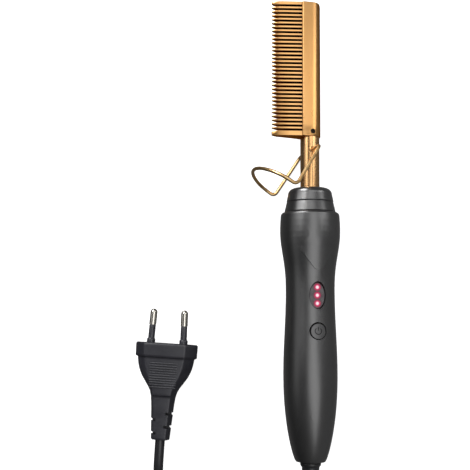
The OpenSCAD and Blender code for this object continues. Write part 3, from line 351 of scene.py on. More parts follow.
def lensMaterial():
    material, tree, shader, place = startMaterial("smokedPolycarbonate", handleMatrix)
    flat = addNode(tree, "ShaderNodeVectorMath", {"operation": "MULTIPLY", 1: (1, 1, 0)}, {0: place})
    nearest = None
    for i in (-1, 0, 1):
        middle = (0, lensLook["middle"] + i * lensLook["pitch"], 0)
        away = addNode(tree, "ShaderNodeVectorMath", {"operation": "DISTANCE", 1: middle},
                       {0: flat.outputs["Vector"]}).outputs["Value"]
        if nearest is None:
            nearest = away
        else:
            nearest = addNode(tree, "ShaderNodeMath", {"operation": "MINIMUM"},
                              {0: nearest, 1: away}).outputs["Value"]
    reach = lensLook["reach"]
    out = addNode(tree, "ShaderNodeMath", {"operation": "DIVIDE", 1: reach}, {0: nearest}).outputs["Value"]
    core, bloom = lensLook["core"] / reach, lensLook["bloom"] / reach
    # where the white core ends, the pink has turned crimson, the crimson dims and the bloom ends
    white, pink, crimson, dusk = core * 0.85, core * 1.3, bloom * 0.7, bloom * 0.9
    glow = addNode(tree, "ShaderNodeValToRGB", None, {"Fac": out})
    setStops(glow, [(0.0, linear("#FFFFFF")), (white, linear("#FFE3EE")), (pink, linear("#E82C6C")),
                    (crimson, linear("#B40F48")), (dusk, linear("#5A0A2A")), (1.0, linear("#14030A"))])
    power = addNode(tree, "ShaderNodeValToRGB", None, {"Fac": out})
    setStops(power, [(0.0, grey(1.0)), (pink, grey(0.9)), (crimson, grey(0.7)), (dusk, grey(0.35)),
                     (1.0, grey(0.1))])
    haze = addNode(tree, "ShaderNodeTexNoise", {"Scale": 1 / lensLook["hazeSize"], "Detail": 2},
                   {"Vector": place})
    tint = addNode(tree, "ShaderNodeValToRGB", None, {"Fac": haze.outputs["Fac"]})
    setStops(tint, [(0.35, linear(lensLook["smoke"])), (0.65, linear(lensLook["haze"]))])
    # painted glow of the lamps on the lens, whose base colour also turns deep crimson under each bloom
    tree.links.new(glow.outputs["Color"], shader.inputs["Emission Color"])
    tree.links.new(power.outputs["Color"], shader.inputs["Emission Strength"])
    bloomBase = addNode(tree, "ShaderNodeMix", {"data_type": "RGBA", 7: linear(lensLook["bloomBase"])},
                     {0: power.outputs["Color"], 6: tint.outputs["Color"]})
    tree.links.new(bloomBase.outputs[2], shader.inputs["Base Color"])
    shader.inputs["Roughness"].default_value = 0.2
    shader.inputs["IOR"].default_value = 1.58
    darkenRim(material, lensLook["rim"], lensLook["rimMiddle"])
    return material


# lit epoxy lamp domes: pink, and bright by themselves
lampLook = {"dark": "#FF6C98", "light": "#FFB6CC", "driftSize": 1.25}


def lampMaterial():
    material, tree, shader, place = startMaterial("litEpoxy", handleMatrix)
    drift = addNode(tree, "ShaderNodeTexNoise", {"Scale": 1 / lampLook["driftSize"]}, {"Vector": place})
    tones = addNode(tree, "ShaderNodeValToRGB", None, {"Fac": drift.outputs["Fac"]})
    setStops(tones, [(0.2, linear(lampLook["dark"])), (0.8, linear(lampLook["light"]))])
    tree.links.new(tones.outputs["Color"], shader.inputs["Base Color"])
    tree.links.new(tones.outputs["Color"], shader.inputs["Emission Color"])
    shader.inputs["Emission Strength"].default_value = 1.0
    shader.inputs["Roughness"].default_value = 0.2
    return material


# solder mask over copper: green, with paler tracks 1.4 mm apart, as rows of half a unit at 0.35 units to a mm
def boardMaterial():
    material, tree, shader, place = startMaterial("solderMask", handleMatrix)
    tracks = addNode(tree, "ShaderNodeTexBrick",
                     {"Scale": 0.35, "Mortar Size": 0.06, "Brick Width": 1.3, "Row Height": 0.5,
                      "Color1": linear("#1F5A30"), "Color2": linear("#256638"), "Mortar": linear("#4E9A5C")},
                     {"Vector": place})
    tree.links.new(tracks.outputs["Color"], shader.inputs["Base Color"])
    shader.inputs["Roughness"].default_value = 0.35
    return material


combGold = combMaterial()
satinButton = buttonMaterial()
smokedLens = lensMaterial()
litLamp = lampMaterial()
solderMask = boardMaterial()
nodeFinish = {
    "comb_head": combGold, "comb_screw": metals["blackOxide"], "neck_tube": tubeGold, "stand_wire": wireGold,
    "heater_sleeve": moulded["polyimideFilm"], "ptc_plates": moulded["firedCeramic"],
    "electrodes": metals["rolledAluminium"], "thermistor": moulded["blackSilicone"],
    "thermal_fuse": metals["zincPlate"], "heater_leads": moulded["redSilicone"],
    "nose_bush": moulded["pressedPhenolic"], "retaining_ring": metals["zincPlate"],
    "collar_cap": moulded["turnedNylon"], "collar_ring": moulded["turnedNylon"],
    "front_shell": moulded["softTouchPaint"], "rear_shell": moulded["softTouchPaint"],
    "display_lens": smokedLens, "leds": litLamp, "led_shield": moulded["glassFilledNylon"],
    "power_button": satinButton, "switch_plunger": moulded["glassFilledNylon"],
    "tact_switch": moulded["mouldedPbt"], "circuit_board": solderMask,
    "controller_chip": moulded["glassFilledNylon"], "capacitor": moulded["dippedEpoxy"],
    "triac": moulded["glassFilledNylon"], "fuse_resistor": moulded["bakedLacquer"],
    "board_screws": metals["zincPlate"], "shell_screws": metals["zincPlate"],
    "swivel_bearing": moulded["machinedAcetal"], "swivel_boot": moulded["mouldedPvc"],
    "slip_rings": metals["turnedBrass"], "brush_holder": moulded["pressedPhenolic"],
    "brushes": metals["turnedBrass"], "mains_leads": moulded["redSilicone"],
    "plug_pins": metals["nickelPlate"],
}
for name, material in nodeFinish.items():
    mesh = frame["nodes"][name].data
    mesh.materials.clear()
    mesh.materials.append(material)
print("finishes set")


creaseAngle = 35


# smooth all over, with crisp edges where faces meet at more than an angle in degrees
def crisp(mesh, sharpAngle=creaseAngle):
    work = bmesh.new()
    work.from_mesh(mesh)
    bmesh.ops.recalc_face_normals(work, faces=work.faces)
    for face in work.faces:
        face.smooth = True
    for edge in work.edges:
        edge.smooth = len(edge.link_faces) != 2 or edge.calc_face_angle() < math.radians(sharpAngle)
    work.to_mesh(mesh)
    work.free()


# mesh from points in metres, placed by a matrix
def meshPiece(name, points, faces, material, matrix=None, sharpAngle=creaseAngle):
    mesh = bpy.data.meshes.new(name)
    place = matrix or Matrix()
    mesh.from_pydata([place @ Vector(p) for p in points], [], faces)
    crisp(mesh, sharpAngle)
    mesh.materials.append(material)
    piece = bpy.data.objects.new(name, mesh)
    bpy.context.collection.objects.link(piece)
    return piece


# skin over rings of points, closed at both ends or joined end to end
def lofted(rings, loop=False):
    count = len(rings[0])
    last = len(rings)
    faces = []
    for i in range(last if loop else last - 1):
        for k in range(count):
            a, b = i * count + k, i * count + (k + 1) % count
            shift = count if i < last - 1 else -i * count
            faces.append((a, b, b + shift, a + shift))
    if not loop:
        faces.append(tuple(range(count)))
        faces.append(tuple(reversed(range((last - 1) * count, last * count))))
    return [p for ring in rings for p in ring], faces


# adds a shape's points and faces to lists that hold others
def addTo(points, faces, more):
    start = len(points)
    points += more[0]
    faces += [tuple(start + v for v in face) for face in more[1]]


# Geometry Nodes row: repeats the piece's own mesh "Count" times, each "Step" further on
def rowOf(piece, count, step, material):
    tree = bpy.data.node_groups.new(piece.name + "Row", "GeometryNodeTree")
    sockets = tree.interface
    sockets.new_socket("Geometry", in_out="INPUT", socket_type="NodeSocketGeometry")
    countSocket = sockets.new_socket("Count", in_out="INPUT", socket_type="NodeSocketInt")
    stepSocket = sockets.new_socket("Step", in_out="INPUT", socket_type="NodeSocketVector")
    sockets.new_socket("Geometry", in_out="OUTPUT", socket_type="NodeSocketGeometry")
    given = addNode(tree, "NodeGroupInput")
    line = addNode(tree, "GeometryNodeMeshLine", {"mode": "OFFSET"},
                   {"Count": given.outputs["Count"], "Offset": given.outputs["Step"]})
    spread = addNode(tree, "GeometryNodeInstanceOnPoints", None,
                     {"Points": line.outputs["Mesh"], "Instance": given.outputs["Geometry"]})
    real = addNode(tree, "GeometryNodeRealizeInstances", None, {"Geometry": spread.outputs["Instances"]})
    coated = addNode(tree, "GeometryNodeSetMaterial", {"Material": material},
                     {"Geometry": real.outputs["Geometry"]})
    result = addNode(tree, "NodeGroupOutput")
    tree.links.new(coated.outputs["Geometry"], result.inputs["Geometry"])
    row = piece.modifiers.new("row", "NODES")
    row.node_group = tree
    row[countSocket.identifier] = count
    row[stepSocket.identifier] = step
    bake(piece)


# makes plain mesh of what the piece's modifiers show
def bake(piece):
    solid = bpy.data.meshes.new_from_object(piece.evaluated_get(bpy.context.evaluated_depsgraph_get()))
    piece.modifiers.clear()
    piece.data = solid


def cutAway(piece, cutter):
    cut = piece.modifiers.new("cut", "BOOLEAN")
    cut.object = cutter
    cut.operation = "DIFFERENCE"
    cut.solver = "EXACT"
    bake(piece)
    crisp(piece.data)
    bpy.data.objects.remove(cutter)


# mains cord: out of the boot, into the tied coil beyond it, and back to the plug beside the handle
cordFacts = {
    "diameter": 5.4, "length": 1817.0, "coilGap": 0.45, "innerRadius": 20.6, "turns": 4, "coilStart": -42.0,
    "stepsPerTurn": 48, "bootLength": 28.0, "tieThickness": 0.8, "tieRoom": 0.2,
}
plug = {"thickness": 13.7, "body": 36.0, "relief": 17.0, "face": (-80.5, 89.9), "turn": -3.2,
        "pinBase": 18.6, "pinTip": 17.5, "pinLength": 19.0, "soften": 0.7, "edgeBand": 0.1, "ringGap": 0.8,
        "creaseAngle": 50}
cordExit = atHandle(0, -cordFacts["bootLength"])
pitch = cordFacts["diameter"] + cordFacts["coilGap"]
outerRadius = cordFacts["innerRadius"] + cordFacts["turns"] * pitch
lowLayer = cordFacts["diameter"] / 2 + cordFacts["tieThickness"] + cordFacts["tieRoom"]
topLayer = lowLayer + pitch
coilMiddle = (-outerRadius, cordFacts["coilStart"] - cordFacts["diameter"])
plugTurn = math.radians(plug["turn"])
plugFace = (*plug["face"], plug["thickness"] / 2)
plugBack = Vector((math.sin(plugTurn), -math.cos(plugTurn), 0))     # from the plug's face to its cord
plugEnd = Vector(plugFace) + (plug["body"] + plug["relief"]) * plugBack
# places in millimetres from the boot's free end along the table, heights from the table
exitHeight = cordExit.z / mm
freeRoute = [(0, 0, exitHeight), (0, -5.4, exitHeight - 0.1), (0, -12, 12.2), (0, -18, 10), (0, -24, 6.8),
             (0, -30, 4.6), (0, -36.6, lowLayer), (0, cordFacts["coilStart"], lowLayer)]
tailRoute = [(-2 * outerRadius, cordFacts["coilStart"], topLayer), (-2 * outerRadius, -36.6, topLayer),
             (-88, -29, 8.6), (-88, -22, 6.2), (-87.6, -15, 3.8), (-87.1, -7, 2.75), (-86.4, 0, 2.75),
             (-85.6, 8, 2.75), (-84.9, 15.5, 3.6), (-84.3, 23.5, 5.9),
             plugEnd + cordFacts["diameter"] * plugBack, plugEnd]


def onTable(point):
    return Vector((cordExit.x + point[0] * mm, cordExit.y + point[1] * mm, point[2] * mm))


# a smooth line through a route's points, with each stretch in so many parts
def curved(route, parts=4):
    spots = [Vector(p) for p in route]
    last = len(spots) - 1
    line = []
    for i in range(last):
        a, b, c, d = spots[max(i - 1, 0)], spots[i], spots[i + 1], spots[min(i + 2, last)]
        for k in range(parts):
            t = k / parts
            line.append(0.5 * (2 * b + (c - a) * t + (2 * a - 5 * b + 4 * c - d) * t * t
                               + (3 * b - a - 3 * c + d) * t * t * t))
    return line + [spots[last]]


# inwards on the lower layer, up in half a turn, and outwards on the upper one
def coilLine():
    turn = cordFacts["stepsPerTurn"]
    wind, half = cordFacts["turns"] * turn, turn // 2
    line = []
    for i in range(2 * wind + half + 1):
        if i <= wind:
            radius = outerRadius - pitch * i / turn
        elif i <= wind + half:
            radius = cordFacts["innerRadius"] - pitch * min(i - wind, wind + half - i) / turn
        else:
            radius = cordFacts["innerRadius"] + pitch * (i - wind - half) / turn
        angle = -2 * math.pi * i / turn
        climb = min(1.0, max(0.0, (i - wind) / half))
        line.append(Vector((coilMiddle[0] + radius * math.cos(angle),
                            coilMiddle[1] + radius * math.sin(angle), lowLayer + pitch * climb)))
    return line


def mainsCord():
    line = curved(freeRoute) + coilLine() + curved(tailRoute)
    curve = bpy.data.curves.new("mainsCord", "CURVE")
    curve.dimensions = "3D"
    curve.bevel_depth = cordFacts["diameter"] / 2 * mm
    curve.bevel_resolution = 5
    curve.use_fill_caps = True
    spline = curve.splines.new("POLY")
    spline.points.add(len(line) - 1)
    for point, spot in zip(spline.points, line):
        point.co = (*onTable(spot), 1)
    spline.use_smooth = True
    curve.materials.append(moulded["extrudedPvc"])
    piece = bpy.data.objects.new("mainsCord", curve)
    bpy.context.collection.objects.link(piece)
    return piece


# tape round the coil, at its side away from the handle, where the spiral is a quarter turn on
strap = {"width": 7.0, "corner": 2.6, "cornerSteps": 5}


def coilStrap():
    clear = cordFacts["diameter"] / 2 + cordFacts["tieRoom"]
    inner = cordFacts["innerRadius"] - pitch / 4 - clear
    outer = outerRadius - pitch / 4 + clear
    top = topLayer + clear
    bend, half = strap["corner"], strap["width"] / 2
    low, high = bend, bend + cordFacts["tieThickness"]
    rings = []
    for y, z, start in ((-outer + bend, high, 180), (-inner - bend, high, 270),
                        (-inner - bend, top - bend, 0), (-outer + bend, top - bend, 90)):
        for k in range(strap["cornerSteps"] + 1):
            angle = math.radians(start + 90 * k / strap["cornerSteps"])
            across, up = math.cos(angle), math.sin(angle)
            rings.append([onTable((coilMiddle[0] + x, coilMiddle[1] + y + r * across, z + r * up))
                          for x, r in ((-half, low), (half, low), (half, high), (-half, high))])
    return meshPiece("coilStrap", *lofted(rings, loop=True), moulded["wovenNylon"])


cord = mainsCord()
tie = coilStrap()
print("cord coiled")

plugMatrix = Matrix.Translation(onTable(plugFace)) @ Matrix.Rotation(plugTurn, 4, "Z")
# place behind the face, half width, half thickness, width of the sloped flank
plugStations = [
    (0.0, 16.9, 6.2, 5.7), (0.35, 17.4, 6.65, 5.9), (1.0, 17.65, 6.85, 6.0), (7.3, 17.45, 6.85, 6.0),
    (7.8, 17.15, 6.6, 5.9), (8.0, 16.35, 6.1, 5.3), (8.4, 16.1, 5.9, 5.1), (11.0, 15.75, 5.9, 5.0),
    (13.5, 15.2, 5.9, 4.9), (16.0, 14.3, 5.9, 4.7), (18.5, 13.1, 5.9, 4.4), (20.5, 11.8, 5.9, 4.0),
    (22.5, 10.4, 5.9, 3.5), (24.5, 9.0, 5.9, 3.0), (26.5, 7.9, 5.9, 2.5), (28.4, 7.3, 5.9, 2.2),
    (28.9, 7.2, 5.75, 2.2), (29.3, 7.1, 5.1, 2.0), (29.7, 7.0, 4.95, 2.0), (33.0, 6.6, 4.95, 1.9),
    (36.0, 6.35, 5.0, 1.8), (40.0, 6.1, 5.0, 1.7), (46.0, 5.7, 4.9, 1.6), (52.6, 5.25, 4.8, 1.5),
    (53.0, 5.0, 4.6, 1.4),
]
gripRibs = {"count": 11, "first": 11.2, "pitch": 1.32, "halfLength": 7.6, "height": 0.3, "width": 0.55,
            "foot": 5.6, "face": 5.9, "chamfer": 0.12, "crown": 0.4}
reliefCuts = {"count": 4, "first": 38.6, "pitch": 3.6, "width": 1.5, "edgeDepth": 0.7, "faceDepth": 3.2,
              "edge": 6.25, "taper": 0.09, "webHalf": 1.2, "outside": 2.0, "above": 8.0}


# eight-sided section: its corners are rounded off, and no more than two fifths of a side goes into one
def plugRing(station):
    behind, wide, thick, flank = station
    low = plug["edgeBand"] * thick
    corners = [Vector(c) for c in ((wide, -low), (wide, low), (wide - flank, thick), (flank - wide, thick),
                                   (-wide, low), (-wide, -low), (flank - wide, -thick), (wide - flank, -thick))]
    ring = []
    for i, corner in enumerate(corners):
        before = corners[i - 1] - corner
        after = corners[(i + 1) % 8] - corner
        reach = min(plug["soften"], before.length / 2.5, after.length / 2.5)
        first = corner + before.normalized() * reach
        last = corner + after.normalized() * reach
        for t in (0.0, 0.33, 0.67, 1.0):
            p = first * (1 - t) ** 2 + corner * 2 * t * (1 - t) + last * t ** 2
            ring.append((p.x * mm, -behind * mm, p.y * mm))
    return ring


def plugShell():
    stations = [plugStations[0]]
    for before, after in zip(plugStations, plugStations[1:]):
        parts = max(1, round((after[0] - before[0]) / plug["ringGap"]))
        stations += [tuple(a + (b - a) * k / parts for a, b in zip(before, after))
                     for k in range(1, parts + 1)]
    rings = [plugRing(station) for station in stations]
    piece = meshPiece("plugShell", *lofted(rings), moulded["texturedPvc"], plugMatrix, plug["creaseAngle"])
    # strain relief: notches from alternate sides, deep in both faces and shallow through the edge
    points, faces = [], []
    half, web, top = reliefCuts["width"] / 2, reliefCuts["webHalf"], reliefCuts["above"]
    for i in range(reliefCuts["count"]):
        behind = reliefCuts["first"] + i * reliefCuts["pitch"]
        side = -1 if i % 2 else 1
        edge = reliefCuts["edge"] - reliefCuts["taper"] * (behind - plug["body"])
        out = edge + reliefCuts["outside"]
        shallow, deep = edge - reliefCuts["edgeDepth"], edge - reliefCuts["faceDepth"]
        section = ((out, -top), (deep, -top), (deep, -web), (shallow, -web), (shallow, web), (deep, web),
                   (deep, top), (out, top))
        addTo(points, faces, lofted([[(side * x * mm, (y - behind) * mm, z * mm) for x, z in section]
                                     for y in (-half, half)]))
    cutAway(piece, meshPiece("notches", points, faces, moulded["texturedPvc"], plugMatrix))
    return piece


# fine ribs for the fingers across both broad faces
def plugGrip():
    half, low = gripRibs["width"] / 2, gripRibs["foot"]
    high = gripRibs["face"] + gripRibs["height"]
    shoulder, crown = high - gripRibs["chamfer"], half * gripRibs["crown"]
    section = ((-half, low), (-half, shoulder), (-crown, high), (crown, high), (half, shoulder), (half, low))
    points, faces = [], []
    for side in (-1, 1):
        rib = [[(x * mm, (y - gripRibs["first"]) * mm, side * z * mm) for y, z in section]
               for x in (-gripRibs["halfLength"], gripRibs["halfLength"])]
        addTo(points, faces, lofted(rib))
    piece = meshPiece("plugGrip", points, faces, moulded["texturedPvc"], plugMatrix)
    step = plugMatrix.to_3x3() @ Vector((0, -gripRibs["pitch"] * mm, 0))
    rowOf(piece, gripRibs["count"], step, moulded["texturedPvc"])
    return piece


# insulating sleeves of the pins, wider where they leave the plug: radius and distance from the face
sleeveOutline = [(1.5, 0.0), (2.35, 0.0), (2.35, 1.9), (2.25, 2.2), (1.86, 2.5), (1.84, 9.6), (1.76, 9.95),
                 (1.5, 10.0)]
sleeveSides = 40


def pinSleeves():
    lean = math.atan((plug["pinBase"] - plug["pinTip"]) / 2 / plug["pinLength"])
    points, faces = [], []
    for side in (-1, 1):
        foot = Matrix.Translation((side * plug["pinBase"] / 2 * mm, 0, 0))
        place = foot @ Matrix.Rotation(side * lean, 4, "Z")
        rings = [[place @ (Vector((r * math.cos(a), out, r * math.sin(a))) * mm) for r, out in sleeveOutline]
                 for a in anglesRound(sleeveSides)]
        addTo(points, faces, lofted(rings, loop=True))
    return meshPiece("pinSleeves", points, faces, moulded["glossPvc"], plugMatrix)


plugBody = plugShell()
grip = plugGrip()
sleeves = pinSleeves()
print("plug made")

# comb head: a round spine, and teeth that follow one rule along it; "tipRound" gives places above a tooth's
# tip with how far it has drawn in there, and the screw's hole is cut from "screwFloor" to "screwOut"
comb = {"foot": combFoot, "length": combLength, "reach": 22.0, "spineHalf": 5.9, "toothHalf": 5.0,
        "tipHalf": 2.6, "slotRoot": 6.0, "slots": 33, "pitch": 2.2, "slotWidth": 1.05, "firstSlot": 3.2,
        "tipLength": 3.6, "corner": 2.6, "tipEdge": 0.6, "tipRib": 0.3, "softEdge": 0.13, "bladeRoot": 5.55,
        "tipRound": ((0.3, 0.0), (0.08, 0.1), (0.0, 0.22)), "screwUp": 2.6, "screwHole": 1.43,
        "screwFloor": 3.9, "screwOut": 8.0, "screwSides": 32, "spineSteps": 24, "lengthSteps": 12,
        "cornerSteps": 10}


# section of the spine: half round, a flat on either side, and a rounded shoulder down to the teeth; the points
# near both ends of a flat keep it evenly lit
def spineRing(place, limit, inset):
    half, root, tooth = comb["spineHalf"], comb["slotRoot"], comb["toothHalf"]
    bow = [math.radians(180 * k / comb["spineSteps"] - 90) for k in range(comb["spineSteps"] + 1)]
    section = [(half * math.cos(a), half * math.sin(a)) for a in bow]
    face = [(-0.2, half), (0.9 - root, half), (0.7 - root, half), (0.48 - root, half - 0.12),
            (0.05 - root, tooth + 0.05), (-root, tooth - 0.1)]
    section += face + [(x, -z) for x, z in reversed(face)]
    shrink = 1 - inset / half
    return [atHandle(min(x, limit) * shrink, place, z * shrink) for x, z in section]


def combSpine():
    foot, top = comb["foot"], comb["foot"] + comb["length"]
    soft, corner, half = comb["softEdge"], comb["corner"], comb["spineHalf"]
    straight, steps = top - corner - foot - soft, comb["lengthSteps"]
    rings = [spineRing(foot, half, soft), spineRing(foot + 0.4 * soft, half, 0.4 * soft)]
    rings += [spineRing(foot + soft + straight * k / steps, half, 0) for k in range(steps + 1)]
    # the corner over the spine: the section is cut off nearer and nearer to the axis
    for k in range(1, comb["cornerSteps"]):
        angle = math.radians(90 * k / comb["cornerSteps"])
        rings.append(spineRing(top - corner + (corner - soft) * math.sin(angle),
                               half - corner + corner * math.cos(angle), 0))
    rings.append(spineRing(top, half - corner, soft))
    piece = meshPiece("combHead", *lofted(rings), combGold)
    radius, middle = comb["screwHole"], foot + comb["screwUp"]
    hole = [[atHandle(radius * math.cos(a), middle + radius * math.sin(a), z)
             for a in anglesRound(comb["screwSides"])] for z in (comb["screwFloor"], comb["screwOut"])]
    cutAway(piece, meshPiece("screwHole", *lofted(hole), combGold))
    return piece


# one blade across the comb, from its low to its high side at the root and at the tip
def blade(lowRoot, highRoot, lowTip, highTip):
    soft = comb["softEdge"]
    tipStart = comb["tipLength"] - comb["reach"]
    rings = []
    stations = [(-comb["bladeRoot"], 0), (-comb["slotRoot"], 0), (tipStart, 0)]
    stations += [(up - comb["reach"], inset) for up, inset in comb["tipRound"]]
    for side, inset in stations:
        taper = max(0.0, (tipStart - side) / comb["tipLength"])
        if side >= tipStart:
            rise = (side - tipStart) / (comb["reach"] - comb["tipLength"] - comb["slotRoot"])
            half = comb["tipHalf"] + (comb["toothHalf"] - comb["tipHalf"]) * min(1, rise)
        else:
            half = comb["tipHalf"] + (comb["tipEdge"] - comb["tipHalf"]) * taper
        low = lowRoot + (lowTip - lowRoot) * taper + inset
        high = highRoot + (highTip - highRoot) * taper - inset
        half -= inset
        cut = min(soft, (high - low) / 3)
        rings.append([atHandle(side, p, z) for p, z in (
            (low + cut, -half), (high - cut, -half), (high, cut - half), (high, half - cut),
            (high - cut, half), (low + cut, half), (low, half - cut), (low, cut - half))])
    return lofted(rings)


def combHead():
    piece = combSpine()
    foot, top = comb["foot"], comb["foot"] + comb["length"]
    halfSlot, halfMouth = comb["slotWidth"] / 2, comb["pitch"] / 2 - comb["tipRib"]
    first = foot + comb["firstSlot"]
    second = first + comb["pitch"]
    last = first + (comb["slots"] - 1) * comb["pitch"]
    points, faces = [], []
    addTo(points, faces, blade(foot, first - halfSlot, foot, first - halfMouth))
    addTo(points, faces, blade(last + halfSlot, top, last + halfMouth, top))
    plates = meshPiece("combPlates", points, faces, combGold)
    tooth = blade(first + halfSlot, second - halfSlot, first + halfMouth, second - halfMouth)
    teeth = meshPiece("combTeeth", *tooth, combGold)
    rowOf(teeth, comb["slots"] - 1, alongDir * comb["pitch"] * mm, combGold)
    work = bmesh.new()
    for part in (piece, plates, teeth):
        work.from_mesh(part.data)
    work.to_mesh(piece.data)
    work.free()
    for part in (plates, teeth):
        bpy.data.objects.remove(part)
    return piece


# rims pressed round the hole where the stand's wire goes through the tube
eyelet = {"radius": 1.47, "thickness": 0.38, "height": 5.14, "sides": 32, "rimSides": 12}


def hingeEyelets():
    points, faces = [], []
    for side in (-1, 1):
        rings = []
        for a in anglesRound(eyelet["sides"]):
            ring = []
            for b in anglesRound(eyelet["rimSides"]):
                reach = eyelet["radius"] + eyelet["thickness"] * math.cos(b)
                height = eyelet["height"] + eyelet["thickness"] * math.sin(b)
                ring.append(atHandle(reach * math.cos(a), hingePlace + reach * math.sin(a), side * height))
            rings.append(ring)
        addTo(points, faces, lofted(rings, loop=True))
    return meshPiece("hingeEyelets", points, faces, tubeGold)


head = combHead()
eyelets = hingeEyelets()
print("comb made")

# power sign printed on the button: a thin skin laid on its domed face, as a ring with a gap and a bar
powerSign = {"middle": 69.5, "radius": 1.75, "line": 0.5, "gap": 38, "barLow": 0.1, "barHigh": 2.15,
             "rise": 0.1, "sunk": 0.05, "arcSteps": 40, "barSteps": 6, "castFrom": 30}


def buttonSign():
    work = bmesh.new()
    work.from_mesh(frame["nodes"]["power_button"].data)
    surface = BVHTree.FromBMesh(work)
    work.free()
    sweep, arcSteps, barSteps = 360 - 2 * powerSign["gap"], powerSign["arcSteps"], powerSign["barSteps"]
    radius, low, high = powerSign["radius"], powerSign["barLow"], powerSign["barHigh"]
    arc = [math.radians(90 + powerSign["gap"] + sweep * k / arcSteps) for k in range(arcSteps + 1)]
    lines = [[(radius * math.cos(a), radius * math.sin(a)) for a in arc],
             [(0, low + (high - low) * k / barSteps) for k in range(barSteps + 1)]]
    # a line's section: shares of its half width, and heights over the button
    top, sunk = powerSign["rise"], -powerSign["sunk"]
    section = ((1.0, sunk), (1.0, top * 0.6), (0.6, top), (-0.6, top), (-1.0, top * 0.6), (-1.0, sunk))
    points, faces = [], []
    for line in lines:
        rings = []
        for i, (x, y) in enumerate(line):
            ahead = Vector(line[min(i + 1, len(line) - 1)]) - Vector(line[max(i - 1, 0)])
            across = Vector((-ahead.y, ahead.x)).normalized() * powerSign["line"] / 2
            ring = []
            for reach, rise in section:
                above = atHandle(x + across.x * reach, powerSign["middle"] + y + across.y * reach,
                                 powerSign["castFrom"])
                ring.append(surface.ray_cast(above, -frontDir)[0] + frontDir * rise * mm)
            rings.append(ring)
        addTo(points, faces, lofted(rings))
    return meshPiece("powerSign", points, faces, moulded["printedInk"])


sign = buttonSign()
print("power sign made")

# each piece: the body it rides on, the record's slot, and the solids that it stands for
riders = [
    (cord, "comb_body", "cord_sheath", ("cord_free", "cord_coil", "cord_tail")),
    (tie, "comb_body", "tie_plastic", ("coil_tie",)),
    (plugBody, "comb_body", "plug_rubber", ("plug_body",)),
    (grip, "comb_body", "plug_rubber", ()),
    (sleeves, "comb_body", "sleeve_plastic", ("pin_sleeves",)),
    (head, "comb_body", "comb_metal", ("comb_head",)),
    (eyelets, "comb_body", "tube_metal", ()),
    (sign, "button", "button_plastic", ()),
]
for piece, body, slotName, solids in riders:
    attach(piece, body)
    if solids:
        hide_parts(*solids)
print("pieces on their bodies")

# lamps at their places in metres, aimed at the comb; "glow" is what a mirror would show of them
studio = {
    "floorSize": 3.0, "floorDark": "#C6C6C6", "floorLight": "#CBCBCB", "floorCamera": 0.8,
    "floorDrop": 0.2, "mottleSize": 40, "mirrorLeft": 0.03, "mirrorRight": 0.2, "mirrorSpan": 0.16,
    "skySpan": 0.8, "skyDiffuse": 0.45, "aim": (0.01, 0.02, 0.02),
    "lamps": [
        {"name": "keyLamp", "place": (0.28, -0.2, 0.9), "width": 0.54, "length": 0.8, "glow": 1.6},
        {"name": "combLamp", "place": (0.2, 0.4, 0.92), "width": 0.7, "length": 0.44, "glow": 1.55},
        {"name": "rightStrip", "place": (0.77, 0.33, 0.54), "width": 0.2, "length": 0.6, "glow": 3.4},
        {"name": "leftPanel", "place": (-0.56, 0.53, 0.7), "width": 0.7, "length": 0.75, "glow": 2.4},
        {"name": "farLamp", "place": (-0.48, 0.9, 0.62), "width": 0.36, "length": 0.5, "glow": 16.0},
        {"name": "leftLamp", "place": (-0.8, 0.0, 0.5), "width": 0.45, "length": 0.4, "glow": 0.45},
    ],
}


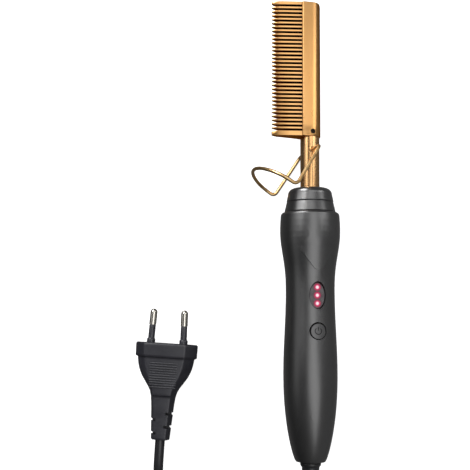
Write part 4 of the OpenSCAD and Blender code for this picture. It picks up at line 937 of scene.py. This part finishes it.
def tableTop():
    material, tree, shader, place = startMaterial("paleCard")
    mottle = addNode(tree, "ShaderNodeTexNoise", {"Scale": 1 / studio["mottleSize"], "Detail": 2},
                     {"Vector": place})
    tones = addNode(tree, "ShaderNodeValToRGB", None, {"Fac": mottle.outputs["Fac"]})
    setStops(tones, [(noiseLow, linear(studio["floorDark"])), (noiseHigh, linear(studio["floorLight"]))])
    tree.links.new(tones.outputs["Color"], shader.inputs["Base Color"])
    shader.inputs["Roughness"].default_value = 0.9
    shader.inputs["Specular IOR Level"].default_value = 0.1
    rays = addNode(tree, "ShaderNodeLightPath")
    lift = addNode(tree, "ShaderNodeMath", {"operation": "MULTIPLY", 1: studio["floorCamera"]},
                   {0: rays.outputs["Is Camera Ray"]})
    shader.inputs["Emission Color"].default_value = (1, 1, 1, 1)
    tree.links.new(lift.outputs["Value"], shader.inputs["Emission Strength"])
    # mirrored in metal and plastic the table is dark on the left and grey on the right
    split = addNode(tree, "ShaderNodeSeparateXYZ", None, {"Vector": place})
    across = addNode(tree, "ShaderNodeMapRange",
                     {"From Min": -studio["mirrorSpan"] / mm, "From Max": studio["mirrorSpan"] / mm,
                      "To Min": studio["mirrorLeft"], "To Max": studio["mirrorRight"]},
                     {"Value": split.outputs["X"]})
    mirrored = addNode(tree, "ShaderNodeEmission", {"Color": (1, 1, 1, 1)},
                       {"Strength": across.outputs["Result"]})
    either = addNode(tree, "ShaderNodeMixShader", None, {0: rays.outputs["Is Glossy Ray"]})
    tree.links.new(shader.outputs["BSDF"], either.inputs[1])
    tree.links.new(mirrored.outputs["Emission"], either.inputs[2])
    tree.links.new(either.outputs["Shader"], tree.nodes["Material Output"].inputs["Surface"])
    half = studio["floorSize"] / 2
    low = -studio["floorDrop"] * mm
    corners = [(-half, -half, low), (half, -half, low), (half, half, low), (-half, half, low)]
    return meshPiece("tableTop", corners, [(0, 1, 2, 3)], material)


tableTop()
for lamp in studio["lamps"]:
    light = bpy.data.lights.new(lamp["name"], "AREA")
    light.shape = "RECTANGLE"
    light.size, light.size_y = lamp["width"], lamp["length"]
    light.energy = lamp["glow"] * math.pi * lamp["width"] * lamp["length"]
    holder = bpy.data.objects.new(lamp["name"], light)
    holder.location = lamp["place"]
    beam = Vector(studio["aim"]) - Vector(lamp["place"])
    holder.rotation_euler = beam.to_track_quat("-Z", "Y").to_euler()
    bpy.context.collection.objects.link(holder)

# white for the camera; what metal and satin plastic mirror is dark on the left, like the table
world = bpy.data.worlds.new("studioWorld")
bpy.context.scene.world = world
world.use_nodes = True
sky = world.node_tree
rays = addNode(sky, "ShaderNodeLightPath")
direction = addNode(sky, "ShaderNodeTexCoord")
split = addNode(sky, "ShaderNodeSeparateXYZ", None, {"Vector": direction.outputs["Generated"]})
mirrored = addNode(sky, "ShaderNodeMapRange",
                   {"From Min": -studio["skySpan"], "From Max": studio["skySpan"],
                    "To Min": studio["mirrorLeft"], "To Max": studio["mirrorRight"]},
                   {"Value": split.outputs["X"]})
around = addNode(sky, "ShaderNodeMix", {"data_type": "FLOAT", 3: studio["skyDiffuse"]},
                 {0: rays.outputs["Is Diffuse Ray"], 2: mirrored.outputs["Result"]})
seen = addNode(sky, "ShaderNodeMath", {"operation": "MAXIMUM"},
               {0: rays.outputs["Is Camera Ray"], 1: around.outputs[0]})
through = addNode(sky, "ShaderNodeMath", {"operation": "MAXIMUM"},
                  {0: rays.outputs["Is Transmission Ray"], 1: seen.outputs["Value"]})
sky.nodes["Background"].inputs["Color"].default_value = (1, 1, 1, 1)
sky.links.new(through.outputs["Value"], sky.nodes["Background"].inputs["Strength"])
bpy.context.scene.view_settings.view_transform = "Standard"
print("studio set")
